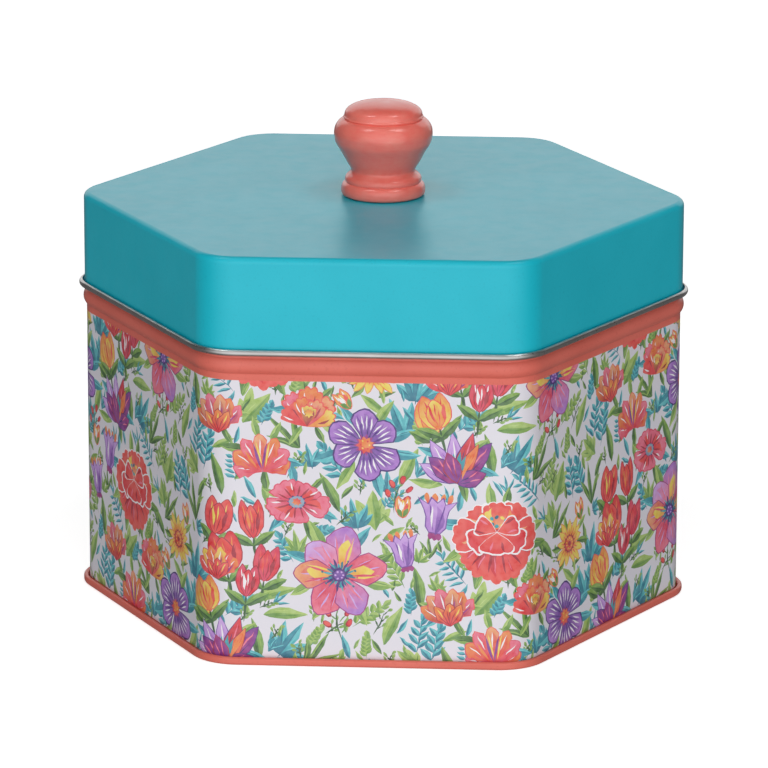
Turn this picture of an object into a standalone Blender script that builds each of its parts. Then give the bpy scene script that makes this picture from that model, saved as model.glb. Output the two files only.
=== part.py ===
"""Hexagonal cookie tin with a lift-off lid and a turned knob.

The tin is made the way tinplate boxes are: a wall bent from one sheet and locked
along a seam down its back, a bottom panel joined to it by a double seam, and a
drawn lid with a curled rim. A turned wooden knob is held by a machine screw that
comes up through the lid into a brass insert.

Lengths are in millimetres here and become metres when a mesh is made. The origin
is the centre of the foot, +Z is up, and two of the six flat sides face -Y and +Y.
"""

import math

import bmesh
import bpy
from mathutils import Vector

MM = 0.001

# The six-sided outline. Offsets below are measured outwards from the lid's flat side.
APOTHEM = 90.9
CORNER_RADIUS = 16.0
SIDES = 6
CORNER_STEPS = 4

# Tinplate
SHEET = 0.3
GAP = 0.3

# Heights above the foot
LID_TOP = 139.4
MOUTH_TOP = 138.2
BEAD_MIDDLE = 102.7

# Wall
WALL_LINE = -0.80
BEAD_HALF_HEIGHT = 3.0
BEAD_DEPTH = 1.15
MOUTH_CURL_RADIUS = 0.95

# Side seam, folded to the inside of the back face
SEAM_WIDTH = 5.0
SEAM_DEPTH = 0.9
SEAM_BOTTOM = 6.0
SEAM_TOP = 97.5
WELD_OVERLAP = 0.15

# Double seam: the layers stand side by side, from the chuck wall outwards
CHUCK_LINE = -1.50
END_HOOK_LINE = -0.10
BODY_HOOK_LINE = 0.60
SEAMING_LINE = 1.30
HOOK_RADIUS = 0.70
END_TURN_HEIGHT = 1.85
BODY_TURN_HEIGHT = 1.55
END_HOOK_TIP = 1.45
BODY_HOOK_TIP = 1.95
FOOT_RADIUS = 0.80

# Bottom panel
PANEL_HEIGHT = 3.6
PANEL_STEP_HEIGHT = 4.4
PANEL_STEP_START = -10.0
PANEL_STEP_END = -11.4

# Lid
SKIRT_LINE = -0.15
LID_DEPTH = 33.0
LID_SHOULDER_RADIUS = 2.45
LID_CURL_RADIUS = 0.95
SCREW_HOLE_RADIUS = 2.4

# Knob, with heights above its own foot
KNOB_STEPS = 32
DOME_RADIUS = 13.2
DOME_BASE = 26.8
DOME_RISE = 5.4
DOME_SIDE = 1.2
BULB_RADIUS = 16.9
BULB_HEIGHT = 20.6
BULB_SHOULDER_RADIUS = 4.6
CONE = ((16.2, 17.9), (14.5, 15.1), (12.75, 11.9), (11.35, 9.4))
NECK = ((11.0, 8.6), (12.3, 6.9))
COLLAR_RADIUS = 13.3
COLLAR_HEIGHT = 4.65
COLLAR_DEPTH = 1.3
COLLAR_HALF_HEIGHT = 1.75
FLANGE_RADIUS = 14.4
FLANGE_HEIGHT = 3.0
FLANGE_EDGE = 0.6
KNOB_BORE_RADIUS = 3.6
KNOB_BORE_DEPTH = 13.0

# Fixing
INSERT_RADIUS = 3.3
INSERT_BORE_RADIUS = 2.3
INSERT_START = 0.5
INSERT_END = 11.5
SHANK_RADIUS = 2.0
SHANK_END = 10.0
HEAD_RADIUS = 4.0
HEAD_HEIGHT = 2.6
HEAD_EDGE = 1.4
SHANK_CHAMFER = 0.4
RECESS_LENGTH = 4.4
RECESS_WIDTH = 1.0
RECESS_DEPTH = 1.4
WASHER_RADIUS = 5.5
WASHER_THICKNESS = 0.8
TURNED_STEPS = 24


def clear_scene():
    for existing in list(bpy.data.objects):
        bpy.data.objects.remove(existing, do_unlink=True)


def make_collection(name):
    collection = bpy.data.collections.new(name)
    bpy.context.scene.collection.children.link(collection)
    return collection


def make_material(name, color, roughness, metallic):
    material = bpy.data.materials.new(name)
    material.use_nodes = True
    shader = material.node_tree.nodes["Principled BSDF"]
    shader.inputs["Base Color"].default_value = (*color, 1.0)
    shader.inputs["Roughness"].default_value = roughness
    shader.inputs["Metallic"].default_value = metallic
    return material


def arc(centre, radii, start, end, steps):
    """Points along an ellipse's arc, ends included; angles in degrees from outwards."""
    points = []
    for step in range(steps + 1):
        angle = math.radians(start + (end - start) * step / steps)
        across = centre[0] + radii[0] * math.cos(angle)
        height = centre[1] + radii[1] * math.sin(angle)
        points.append((across, height))
    return points


def round_arc(across, height, radius, start, end, steps):
    return arc((across, height), (radius, radius), start, end, steps)


def hexagon_ring(offset, height):
    """Rounded hexagon parallel to the lid's outline, its corners concentric with it."""
    centre_distance = (APOTHEM - CORNER_RADIUS) / math.cos(math.pi / SIDES)
    radius = CORNER_RADIUS + offset
    turn = 360.0 / SIDES
    points = []
    for corner in range(SIDES):
        middle = math.radians(corner * turn)
        centre = (centre_distance * math.cos(middle), centre_distance * math.sin(middle))
        start = corner * turn - turn / 2
        for x, y in arc(centre, (radius, radius), start, start + turn, CORNER_STEPS):
            points.append(Vector((x, y, height)) * MM)
    return points


def round_ring(radius, height):
    """Circle whose points lie in the same directions as the rounded hexagon's."""
    points = []
    for point in hexagon_ring(0.0, height):
        direction = Vector((point.x, point.y)).normalized() * radius * MM
        points.append(Vector((direction.x, direction.y, height * MM)))
    return points


def link(name, mesh, material, collection):
    mesh.materials.append(material)
    piece = bpy.data.objects.new(name, mesh)
    collection.objects.link(piece)
    return piece


def smooth_with_sharp_edges(mesh):
    mesh.shade_smooth()
    mesh.set_sharp_from_angle(angle=math.radians(30))


def sheet_through_rings(name, rings, close_end, material, collection):
    """Tinplate piece: a sheet lofted through rings of unlike size, then thickened."""
    shape = bmesh.new()
    loops = [[shape.verts.new(point) for point in ring] for ring in rings]
    for first, second in zip(loops, loops[1:]):
        for index in range(len(first)):
            following = (index + 1) % len(first)
            shape.faces.new((first[index], first[following], second[following], second[index]))
    if close_end:
        shape.faces.new(loops[-1])
    mesh = bpy.data.meshes.new(name)
    shape.to_mesh(mesh)
    shape.free()
    smooth_with_sharp_edges(mesh)
    piece = link(name, mesh, material, collection)
    thickness = piece.modifiers.new("sheet", "SOLIDIFY")
    thickness.thickness = SHEET * MM
    thickness.offset = 0.0
    thickness.use_even_offset = True
    return piece


def turned(name, profile, closed, steps, material, collection):
    """Lathe a profile of (radius, height) points, listed down its outer side."""
    mesh = bpy.data.meshes.new(name)
    points = [(radius * MM, 0.0, height * MM) for radius, height in profile]
    edges = [(index, index + 1) for index in range(len(points) - 1)]
    if closed:
        edges.append((len(points) - 1, 0))
    mesh.from_pydata(points, edges, [])
    piece = link(name, mesh, material, collection)
    lathe = piece.modifiers.new("lathe", "SCREW")
    lathe.axis = "Z"
    lathe.steps = steps
    lathe.render_steps = steps
    lathe.use_merge_vertices = True
    lathe.merge_threshold = 0.00001
    lathe.use_smooth_shade = True
    return piece


def box_cutter(name, size, place, collection):
    """Box of size (x, y, z) standing about its centre; a tool for a Boolean."""
    bpy.ops.mesh.primitive_cube_add(size=1.0)
    cutter = bpy.context.object
    cutter.name = name
    for vertex in cutter.data.vertices:
        for axis in range(3):
            vertex.co[axis] *= size[axis] * MM
    cutter.location = Vector(place) * MM
    for owner in list(cutter.users_collection):
        owner.objects.unlink(cutter)
    collection.objects.link(cutter)
    cutter.hide_render = True
    cutter.display_type = "WIRE"
    return cutter


def combine(piece, cutter, operation):
    boolean = piece.modifiers.new(cutter.name, "BOOLEAN")
    boolean.operation = operation
    boolean.object = cutter
    boolean.solver = "EXACT"


def wall_profile():
    """Body hook, wall, stop bead and mouth curl, from the seam up."""
    turn_across = (BODY_HOOK_LINE + WALL_LINE) / 2
    profile = [(BODY_HOOK_LINE, BODY_HOOK_TIP)]
    profile += round_arc(turn_across, BODY_TURN_HEIGHT, HOOK_RADIUS, 0, -180, 4)
    chord = BEAD_HALF_HEIGHT
    bead_radius = (chord ** 2 + BEAD_DEPTH ** 2) / (2 * BEAD_DEPTH)
    swing = math.degrees(math.asin(chord / bead_radius))
    bead_centre = WALL_LINE + BEAD_DEPTH - bead_radius
    profile += round_arc(bead_centre, BEAD_MIDDLE, bead_radius, -swing, swing, 6)
    curl_height = MOUTH_TOP - SHEET / 2 - MOUTH_CURL_RADIUS
    curl_across = WALL_LINE - MOUTH_CURL_RADIUS
    profile += round_arc(curl_across, curl_height, MOUTH_CURL_RADIUS, 0, 270, 6)
    return profile


def make_body_wall(material, collection, cutters):
    rings = [hexagon_ring(offset, height) for offset, height in wall_profile()]
    wall = sheet_through_rings("body_wall", rings, False, material, collection)
    inner_face = APOTHEM + WALL_LINE - SHEET / 2
    size = (SEAM_WIDTH, SEAM_DEPTH + WELD_OVERLAP, SEAM_TOP - SEAM_BOTTOM)
    middle = inner_face + WELD_OVERLAP - size[1] / 2
    place = (0.0, middle, (SEAM_TOP + SEAM_BOTTOM) / 2)
    combine(wall, box_cutter("side_seam_fold", size, place, cutters), "UNION")
    return wall


def make_base_panel(material, collection):
    turn_across = (END_HOOK_LINE + SEAMING_LINE) / 2
    foot_top = SHEET / 2 + FOOT_RADIUS
    profile = [(END_HOOK_LINE, END_HOOK_TIP)]
    profile += round_arc(turn_across, END_TURN_HEIGHT, HOOK_RADIUS, 180, 0, 4)
    profile += round_arc(SEAMING_LINE - FOOT_RADIUS, foot_top, FOOT_RADIUS, 0, -90, 3)
    profile += round_arc(CHUCK_LINE + FOOT_RADIUS, foot_top, FOOT_RADIUS, 270, 180, 3)
    rise = PANEL_HEIGHT - FOOT_RADIUS
    profile += round_arc(CHUCK_LINE - FOOT_RADIUS, rise, FOOT_RADIUS, 0, 90, 3)
    profile += [(PANEL_STEP_START, PANEL_HEIGHT), (PANEL_STEP_END, PANEL_STEP_HEIGHT)]
    rings = [hexagon_ring(offset, height) for offset, height in profile]
    return sheet_through_rings("base_panel", rings, True, material, collection)


def make_lid_shell(material, collection):
    """Lid with its underside curl; heights here are below the lid's top."""
    panel = -SHEET / 2
    curl_height = LID_CURL_RADIUS + SHEET / 2 - LID_DEPTH
    profile = round_arc(SKIRT_LINE + LID_CURL_RADIUS, curl_height, LID_CURL_RADIUS, 90, -180, 6)
    shoulder = (SKIRT_LINE - LID_SHOULDER_RADIUS, panel - LID_SHOULDER_RADIUS)
    profile += round_arc(*shoulder, LID_SHOULDER_RADIUS, 0, 90, 4)
    rings = [hexagon_ring(offset, height) for offset, height in profile]
    rings.append(round_ring(SCREW_HOLE_RADIUS, panel))
    return sheet_through_rings("lid_shell", rings, False, material, collection)


def make_knob(material, collection):
    """Domed bulb on a waisted neck, with a collar and a flange, bored from below."""
    shoulder_across = BULB_RADIUS - BULB_SHOULDER_RADIUS
    profile = arc((0, DOME_BASE), (DOME_RADIUS, DOME_RISE), 90, 0, 5)
    profile.append((DOME_RADIUS, DOME_BASE - DOME_SIDE))
    profile += round_arc(shoulder_across, BULB_HEIGHT, BULB_SHOULDER_RADIUS, 70, 0, 4)
    profile += CONE
    profile += NECK
    collar = (COLLAR_RADIUS - COLLAR_DEPTH, COLLAR_HEIGHT)
    profile += arc(collar, (COLLAR_DEPTH, COLLAR_HALF_HEIGHT), 60, -60, 4)
    profile.append((FLANGE_RADIUS - FLANGE_EDGE, FLANGE_HEIGHT))
    profile.append((FLANGE_RADIUS, FLANGE_HEIGHT - FLANGE_EDGE))
    profile.append((FLANGE_RADIUS, FLANGE_EDGE))
    profile.append((FLANGE_RADIUS - FLANGE_EDGE, 0.0))
    profile.append((KNOB_BORE_RADIUS, 0.0))
    profile.append((KNOB_BORE_RADIUS, KNOB_BORE_DEPTH))
    profile.append((0.0, KNOB_BORE_DEPTH))
    return turned("knob", profile, False, KNOB_STEPS, material, collection)


def make_knob_insert(material, collection):
    profile = [(INSERT_BORE_RADIUS, INSERT_END), (INSERT_RADIUS, INSERT_END)]
    profile += [(INSERT_RADIUS, INSERT_START), (INSERT_BORE_RADIUS, INSERT_START)]
    return turned("knob_insert", profile, True, TURNED_STEPS, material, collection)


def make_knob_washer(material, collection):
    profile = [(INSERT_BORE_RADIUS, 0.0), (WASHER_RADIUS, 0.0)]
    profile += [(WASHER_RADIUS, -WASHER_THICKNESS), (INSERT_BORE_RADIUS, -WASHER_THICKNESS)]
    return turned("knob_washer", profile, True, TURNED_STEPS, material, collection)


def make_knob_screw(shank_length, material, collection):
    """Pan head below, shank above; its height zero is the head's bearing face."""
    profile = [(0.0, shank_length), (SHANK_RADIUS - SHANK_CHAMFER, shank_length)]
    profile += [(SHANK_RADIUS, shank_length - SHANK_CHAMFER), (SHANK_RADIUS, 0.0)]
    profile.append((HEAD_RADIUS, 0.0))
    edge_centre = (HEAD_RADIUS - HEAD_EDGE, HEAD_EDGE - HEAD_HEIGHT)
    profile += round_arc(*edge_centre, HEAD_EDGE, 0, -90, 4)
    profile.append((0.0, -HEAD_HEIGHT))
    return turned("knob_screw", profile, False, TURNED_STEPS, material, collection)


def cut_cross_recess(screw, bearing_height, cutters):
    """Cross recess for a driver in the screw's head."""
    middle = bearing_height - HEAD_HEIGHT
    for name, size in (
        ("recess_across", (RECESS_LENGTH, RECESS_WIDTH, 2 * RECESS_DEPTH)),
        ("recess_along", (RECESS_WIDTH, RECESS_LENGTH, 2 * RECESS_DEPTH)),
    ):
        combine(screw, box_cutter(name, size, (0.0, 0.0, middle), cutters), "DIFFERENCE")


def main():
    clear_scene()
    tin = make_collection("cookie_tin")
    cutters = make_collection("cutters")

    printed = make_material("printed_tinplate", (0.72, 0.68, 0.74), 0.45, 0.0)
    coral = make_material("coral_lacquer", (0.66, 0.14, 0.11), 0.4, 0.0)
    teal = make_material("teal_lacquer", (0.03, 0.42, 0.50), 0.35, 0.0)
    gloss = make_material("coral_gloss_paint", (0.62, 0.12, 0.09), 0.25, 0.0)
    brass = make_material("brass", (0.72, 0.52, 0.22), 0.35, 1.0)
    steel = make_material("zinc_plated_steel", (0.62, 0.62, 0.60), 0.35, 1.0)

    make_body_wall(printed, tin, cutters)
    make_base_panel(coral, tin)

    # The lid and what is screwed to it hang from one empty on the lift axis.
    lid_lift = bpy.data.objects.new("lid_lift", None)
    lid_lift.location = (0.0, 0.0, LID_TOP * MM)
    tin.objects.link(lid_lift)

    washer_top = -SHEET - GAP
    bearing_face = washer_top - WASHER_THICKNESS - GAP
    shank_length = GAP + SHANK_END - bearing_face
    screw = make_knob_screw(shank_length, steel, tin)
    hung = (
        (make_lid_shell(teal, tin), 0.0),
        (make_knob(gloss, tin), GAP),
        (make_knob_insert(brass, tin), GAP),
        (make_knob_washer(steel, tin), washer_top),
        (screw, bearing_face),
    )
    for piece, height in hung:
        piece.parent = lid_lift
        piece.location = (0.0, 0.0, height * MM)
    cut_cross_recess(screw, LID_TOP + bearing_face, cutters)


main()
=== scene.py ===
"""Looks of the hexagonal cookie tin: fine shells, printed garden, paints, light and camera.

Shapes are worked out in millimetres in the CAD frame: the origin is the centre of the
foot, +Z is up and the tin's front faces -Y. MM turns them into metres when a mesh is
made. The print is a garden of flat painted shapes that are cut into the wall's outer
surface, so each brush stroke has its own faces and its own ink.
"""

import math
import random
from collections import namedtuple

import bpy
import numpy as np
from mathutils import Matrix, Vector, noise
from mathutils.geometry import delaunay_2d_cdt


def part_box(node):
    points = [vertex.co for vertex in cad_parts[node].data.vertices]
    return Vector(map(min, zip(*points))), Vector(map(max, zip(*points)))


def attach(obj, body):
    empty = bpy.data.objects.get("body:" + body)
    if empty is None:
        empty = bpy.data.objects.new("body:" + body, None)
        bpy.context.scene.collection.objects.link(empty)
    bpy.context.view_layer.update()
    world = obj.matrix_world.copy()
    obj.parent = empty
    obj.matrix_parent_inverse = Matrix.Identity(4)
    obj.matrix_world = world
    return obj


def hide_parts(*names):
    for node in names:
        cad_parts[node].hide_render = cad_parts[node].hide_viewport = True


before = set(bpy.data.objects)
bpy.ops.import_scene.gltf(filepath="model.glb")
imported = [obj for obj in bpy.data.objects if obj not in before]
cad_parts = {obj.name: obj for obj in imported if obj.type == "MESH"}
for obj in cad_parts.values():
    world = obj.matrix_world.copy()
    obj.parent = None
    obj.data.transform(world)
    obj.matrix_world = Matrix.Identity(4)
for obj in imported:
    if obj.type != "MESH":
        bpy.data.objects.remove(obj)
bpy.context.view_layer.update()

MM = 0.001


def box_mm(node):
    low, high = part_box(node)
    return low / MM, high / MM


WALL_HIGH = box_mm("body_wall")[1]
LID_LOW, LID_HIGH = box_mm("lid_shell")
KNOB_LOW = box_mm("knob")[0]

# Tinplate. Offsets are measured outwards from the lid's flat side, along the sheet's
# middle line, as in the CAD.
SHEET = 0.3
SIDES = 6
CORNER_RADIUS = 16.0
CORNER_STEPS = 14
WALL_LINE = -0.80
WALL_FACE = WALL_LINE + SHEET / 2
SKIRT_LINE = -0.15
LID_CURL_RADIUS = 0.95
LID_SHOULDER_RADIUS = 2.0
SCREW_HOLE_RADIUS = 2.4
MOUTH_CURL_RADIUS = 0.95
APOTHEM = LID_HIGH.y - (SKIRT_LINE + 2 * LID_CURL_RADIUS + SHEET / 2)

# Stop bead: a round ridge that runs into the wall through two fillets
BEAD_MIDDLE = 102.7
BEAD_DEPTH = 1.15
BEAD_RADIUS = 3.6
BEAD_FILLET = 0.9

# Double seam and bottom panel
END_HOOK_LINE = -0.10
BODY_HOOK_LINE = 0.60
SEAMING_LINE = 1.30
CHUCK_LINE = -1.50
HOOK_RADIUS = 0.70
END_TURN_HEIGHT = 1.85
BODY_TURN_HEIGHT = 1.55
END_HOOK_TIP = 1.45
BODY_HOOK_TIP = 1.95
FOOT_RADIUS = 0.80
PANEL_HEIGHT = 3.6
PANEL_STEP_RISE = 0.8
PANEL_STEP_START = -10.0
PANEL_STEP_RUN = 1.4

# Side seam: a groove outside and a fold inside, down the middle of the back
SEAM_HALF_WIDTH = 2.5
SEAM_DEPTH = 0.9
SEAM_BOTTOM = 6.0
SEAM_TOP = 97.5
SEAM_GROOVE_HALF_WIDTH = 0.25
SEAM_GROOVE_DEPTH = 0.12
SEAM_MARGIN = 1.0

# Print: the garden fills the wall from the seam up to the coral band
PRINT_TOP = 97.8
PRINT_BOTTOM = 2.3
REPEAT_HEIGHT = 65.0
GARDEN_SEED = 7

# Points of the unrolled wall that are nearer than this are one point
WELD = 1e-4


# ---------------------------------------------------------------------------
# Meshes
# ---------------------------------------------------------------------------

class Surface:
    """Points with shading normals, and faces with a material slot, for one mesh."""

    def __init__(self):
        self.points = []
        self.normals = []
        self.faces = []
        self.slots = []

    def add_points(self, points, normals):
        start = sum(len(block) for block in self.points)
        self.points.append(np.asarray(points, float))
        self.normals.append(np.asarray(normals, float))
        return np.arange(start, start + len(points))

    def add_faces(self, faces, slot):
        for face in faces:
            self.faces.append(tuple(int(index) for index in face))
            self.slots.append(slot)

    def strip(self, first, second, slot, flip=False):
        """Quads between two closed rings; they face outwards when the second is above."""
        first_next, second_next = np.roll(first, -1), np.roll(second, -1)
        quads = np.stack((first, first_next, second_next, second), axis=1)
        self.add_faces(quads[:, ::-1] if flip else quads, slot)

    def build(self, name, materials):
        mesh = bpy.data.meshes.new(name)
        mesh.from_pydata(np.concatenate(self.points) * MM, [], self.faces)
        for material in materials:
            mesh.materials.append(material)
        mesh.polygons.foreach_set("material_index", self.slots)
        mesh.shade_smooth()
        normals = np.concatenate(self.normals)
        normals /= np.linalg.norm(normals, axis=1)[:, None]
        mesh.normals_split_custom_set_from_vertices(normals)
        return link(name, mesh)


def link(name, data):
    """New object of the scene, with a mesh, light or camera as its data."""
    piece = bpy.data.objects.new(name, data)
    bpy.context.scene.collection.objects.link(piece)
    return piece


# ---------------------------------------------------------------------------
# Sections and outlines
# ---------------------------------------------------------------------------

# One bend of a sheet's section, with angles in degrees from outwards. bulge is 1 where the
# sheet's outside faces away from the bend's centre and -1 where it faces the centre. Runs
# between bends are straight.
Bend = namedtuple("Bend", "across height radius start end steps bulge")


def section(bends, side):
    """Rows of (offset, height, normal) on the sheet's outside (1) or inside (-1)."""
    rows = []
    for across, height, radius, start, end, steps, bulge in bends:
        reach = radius + side * bulge * SHEET / 2
        for angle in np.radians(np.linspace(start, end, steps + 1)):
            cosine, sine = math.cos(angle), math.sin(angle)
            place = (across + reach * cosine, height + reach * sine)
            rows.append((*place, side * bulge * cosine, side * bulge * sine))
    return rows


def outline(columns, offset):
    """Places and outward directions round the hexagon, for lengths along the wall's face.

    Length zero is the middle of the back, and lengths run anticlockwise seen from above,
    which is left to right for someone who stands in front of a side.
    """
    side = np.floor((columns + SIDE_PITCH / 2) / SIDE_PITCH)
    along = columns - side * SIDE_PITCH
    turned = np.maximum(np.abs(along) - FLAT_LENGTH / 2, 0) * np.sign(along) / FACE_RADIUS
    straight = np.clip(along, -FLAT_LENGTH / 2, FLAT_LENGTH / 2)
    facing = np.radians(90 + side * 360 / SIDES)
    normal = np.stack((np.cos(facing), np.sin(facing)), axis=1)
    tangent = np.stack((-np.sin(facing), np.cos(facing)), axis=1)
    outward = np.stack((np.cos(facing + turned), np.sin(facing + turned)), axis=1)
    inset = APOTHEM - CORNER_RADIUS
    reach = CORNER_RADIUS + np.asarray(offset, float)
    reach = np.broadcast_to(reach, columns.shape)[:, None]
    place = normal * inset + tangent * straight[:, None] + outward * reach
    return place, outward


FACE_RADIUS = CORNER_RADIUS + WALL_FACE
FLAT_LENGTH = 2 * (APOTHEM - CORNER_RADIUS) * math.tan(math.pi / SIDES)
SIDE_PITCH = FLAT_LENGTH + FACE_RADIUS * 2 * math.pi / SIDES
GIRTH = SIDES * SIDE_PITCH
REPEAT_WIDTH = GIRTH / 4


def corner_columns():
    """Lengths along the wall's face at which its corners' facets meet."""
    columns = []
    for corner in range(SIDES):
        start = corner * SIDE_PITCH + FLAT_LENGTH / 2
        end = (corner + 1) * SIDE_PITCH - FLAT_LENGTH / 2
        columns += list(np.linspace(start, end, CORNER_STEPS + 1))
    return columns


def add_ring(surface, columns, row):
    """Ring of points parallel to the outline at one row of a section."""
    offset, height, across, rise = row
    place, outward = outline(columns, offset)
    flat = np.full(len(columns), height)
    points = np.column_stack((place, flat))
    normals = np.column_stack((outward * across, np.full(len(columns), rise)))
    return surface.add_points(points, normals)


def add_round_ring(surface, columns, radius, height, rise):
    """Circle whose points lie in the same directions as the outline's."""
    place = outline(columns, 0.0)[0]
    place = place / np.linalg.norm(place, axis=1)[:, None] * radius
    points = np.column_stack((place, np.full(len(columns), height)))
    normals = np.tile((0.0, 0.0, rise), (len(columns), 1))
    return surface.add_points(points, normals)


# ---------------------------------------------------------------------------
# Materials
# ---------------------------------------------------------------------------

LIGHT_LEVEL = 0.9


def ink(red, green, blue):
    """Paint that looks like this sRGB colour on the tin's lit front."""
    linear = []
    for value in (red, green, blue):
        share = value / 255
        share = share / 12.92 if share <= 0.04045 else ((share + 0.055) / 1.055) ** 2.4
        linear.append(min(share / LIGHT_LEVEL, 0.92))
    return tuple(linear)


WHITE_GROUND = ink(219, 216, 224)
INK_SOFTNESS = 0.12


class Graph:
    """Adds linked nodes to a node tree."""

    def __init__(self, tree):
        self.tree = tree

    def plug(self, value, socket):
        if isinstance(value, bpy.types.NodeSocket):
            self.tree.links.new(value, socket)
        else:
            socket.default_value = value

    def add(self, kind, inputs=None, **settings):
        node = self.tree.nodes.new(kind)
        for setting, value in settings.items():
            setattr(node, setting, value)
        for socket, value in (inputs or {}).items():
            self.plug(value, node.inputs[socket])
        return node

    def spread(self, value, low, high, ends=(0.3, 0.7), **settings):
        """Map a value onto a range."""
        inputs = {"Value": value, "From Min": ends[0], "From Max": ends[1], "To Min": low, "To Max": high}
        return self.add("ShaderNodeMapRange", inputs, **settings).outputs[0]


class Finish(Graph):
    """A Principled material whose colour, roughness and bump come from nodes."""

    def __init__(self, name, **sockets):
        self.material = bpy.data.materials.new(name)
        self.material.use_nodes = True
        super().__init__(self.material.node_tree)
        self.shader = self.tree.nodes["Principled BSDF"]
        for socket, value in sockets.items():
            self.shader.inputs[socket.replace("_", " ")].default_value = value
        self.position = self.add("ShaderNodeTexCoord").outputs["Object"]

    def grain(self, size, detail=3.0, roughness=0.55, stretch=(1, 1, 1)):
        """Noise whose features are about size millimetres, as a value from 0 to 1."""
        mapping = self.add("ShaderNodeMapping", {"Vector": self.position, "Scale": stretch})
        inputs = {"Vector": mapping.outputs[0], "Scale": 1 / (size * MM)}
        inputs.update({"Detail": detail, "Roughness": roughness})
        return self.add("ShaderNodeTexNoise", inputs).outputs["Fac"]

    def mix(self, amount, first, second):
        node = self.add("ShaderNodeMix", data_type="RGBA")
        for socket, value in ((0, amount), (6, first), (7, second)):
            self.plug((*value, 1.0) if isinstance(value, tuple) else value, node.inputs[socket])
        return node.outputs[2]

    def color(self, output):
        self.plug(output, self.shader.inputs["Base Color"])

    def roughness(self, output):
        self.plug(output, self.shader.inputs["Roughness"])

    def bump(self, height, depth, coat=False):
        """Bump of a value from 0 to 1 over a depth in millimetres."""
        inputs = {"Height": height, "Distance": depth * MM, "Strength": 1.0}
        normal = self.add("ShaderNodeBump", inputs).outputs[0]
        for socket in ("Normal", "Coat Normal")[:1 + coat]:
            self.plug(normal, self.shader.inputs[socket])


def lacquer(name, shade, light, dark, rough, peel):
    """Roller-coated enamel: an even colour with faint clouds, orange peel and fine dust."""
    finish = Finish(name, IOR=1.40, Coat_Weight=0.20, Coat_Roughness=0.24, Coat_IOR=1.40)
    clouds = finish.spread(finish.grain(26, detail=2.0), 0.0, 1.0)
    tone = finish.mix(clouds, shade, light)
    specks = finish.spread(finish.grain(0.9, detail=1.0), 0.0, 0.16, ends=(0.60, 0.72))
    finish.color(finish.mix(specks, tone, dark))
    finish.roughness(finish.spread(finish.grain(7), rough - 0.03, rough + 0.04))
    finish.bump(finish.grain(1.6, detail=2.0), peel)
    return finish.material


def teal_lacquer():
    shade, light, dark = ink(16, 178, 197), ink(26, 183, 202), ink(10, 146, 168)
    return lacquer("teal_lacquer_enamel", shade, light, dark, 0.34, 0.006)


def coral_lacquer():
    shade, light, dark = ink(214, 104, 90), ink(221, 112, 98), ink(178, 72, 62)
    return lacquer("coral_lacquer_enamel", shade, light, dark, 0.36, 0.005)


def printed_tinplate():
    """Offset-printed ink under satin varnish: washes granulate, bare ground stays even."""
    finish = Finish("printed_garden_ink", Coat_Weight=0.2, Coat_Roughness=0.3)
    painted = finish.add("ShaderNodeAttribute", attribute_name="ink")
    ground, pigment = painted.outputs["Color"], painted.outputs["Alpha"]
    washed = finish.mix(0.16, ground, (1.0, 0.96, 1.0))
    pooled = finish.add("ShaderNodeGamma", {"Color": ground, "Gamma": 1.4}).outputs[0]
    for size, detail, wash in ((1.1, 4.0, washed), (2.2, 3.0, pooled)):
        patches = finish.spread(finish.grain(size, detail, 0.7), 0.0, 1.0)
        share = finish.add("ShaderNodeMath", {0: patches, 1: pigment}, operation="MULTIPLY")
        ground = finish.mix(share.outputs[0], ground, wash)
    finish.color(ground)
    finish.roughness(finish.spread(finish.grain(5), 0.40, 0.48))
    finish.bump(finish.grain(0.8, detail=2.0), 0.004)
    return finish.material


def bare_tinplate():
    """Bright tinplate: rolling lines, soft blotches and a fine grain."""
    finish = Finish("bare_tinplate", Metallic=1.0)
    lines = finish.grain(0.9, detail=4.0, stretch=(0.03, 1.0, 1.0))
    blotches = finish.grain(14, detail=3.0)
    tone = finish.mix(finish.spread(blotches, 0.0, 1.0), (0.54, 0.53, 0.52), (0.66, 0.65, 0.64))
    finish.color(finish.mix(finish.spread(lines, 0.0, 0.35), tone, (0.42, 0.41, 0.40)))
    finish.roughness(finish.spread(lines, 0.26, 0.40))
    finish.bump(lines, 0.003)
    return finish.material


def coral_gloss_paint():
    """Thick glossy paint on wood: slow waves, thin patches and a clear coat's shine."""
    finish = Finish("coral_gloss_enamel", Coat_Weight=0.6, Coat_Roughness=0.16, Coat_IOR=1.55)
    patches = finish.spread(finish.grain(6.5, detail=3.0), 0.0, 1.0)
    tone = finish.mix(patches, ink(236, 102, 90), ink(245, 117, 103))
    streaks = finish.spread(finish.grain(2.2, stretch=(1, 1, 3)), 0.0, 0.22)
    finish.color(finish.mix(streaks, tone, ink(250, 141, 127)))
    finish.roughness(finish.spread(finish.grain(4), 0.34, 0.46))
    finish.bump(finish.grain(2.4, detail=3.0), 0.05, coat=True)
    return finish.material


def brass():
    finish = Finish("turned_brass", Metallic=1.0)
    rings = finish.grain(0.5, stretch=(0.1, 0.1, 1.0))
    tone = finish.spread(finish.grain(3), 0.0, 1.0)
    finish.color(finish.mix(tone, (0.70, 0.48, 0.18), (0.83, 0.64, 0.30)))
    finish.roughness(finish.spread(rings, 0.26, 0.42))
    finish.bump(rings, 0.01)
    return finish.material


def zinc_plate():
    """Zinc-plated steel: a cool, faintly iridescent blue-grey with fine machining lines."""
    finish = Finish("zinc_plated_steel_finish", Metallic=1.0)
    tone = finish.spread(finish.grain(2.2), 0.0, 1.0)
    finish.color(finish.mix(tone, (0.56, 0.58, 0.62), (0.72, 0.71, 0.66)))
    lines = finish.grain(0.35, stretch=(1.0, 1.0, 0.2))
    finish.roughness(finish.spread(lines, 0.28, 0.44))
    finish.bump(lines, 0.008)
    return finish.material


# ---------------------------------------------------------------------------
# Lid and bottom
# ---------------------------------------------------------------------------

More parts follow.
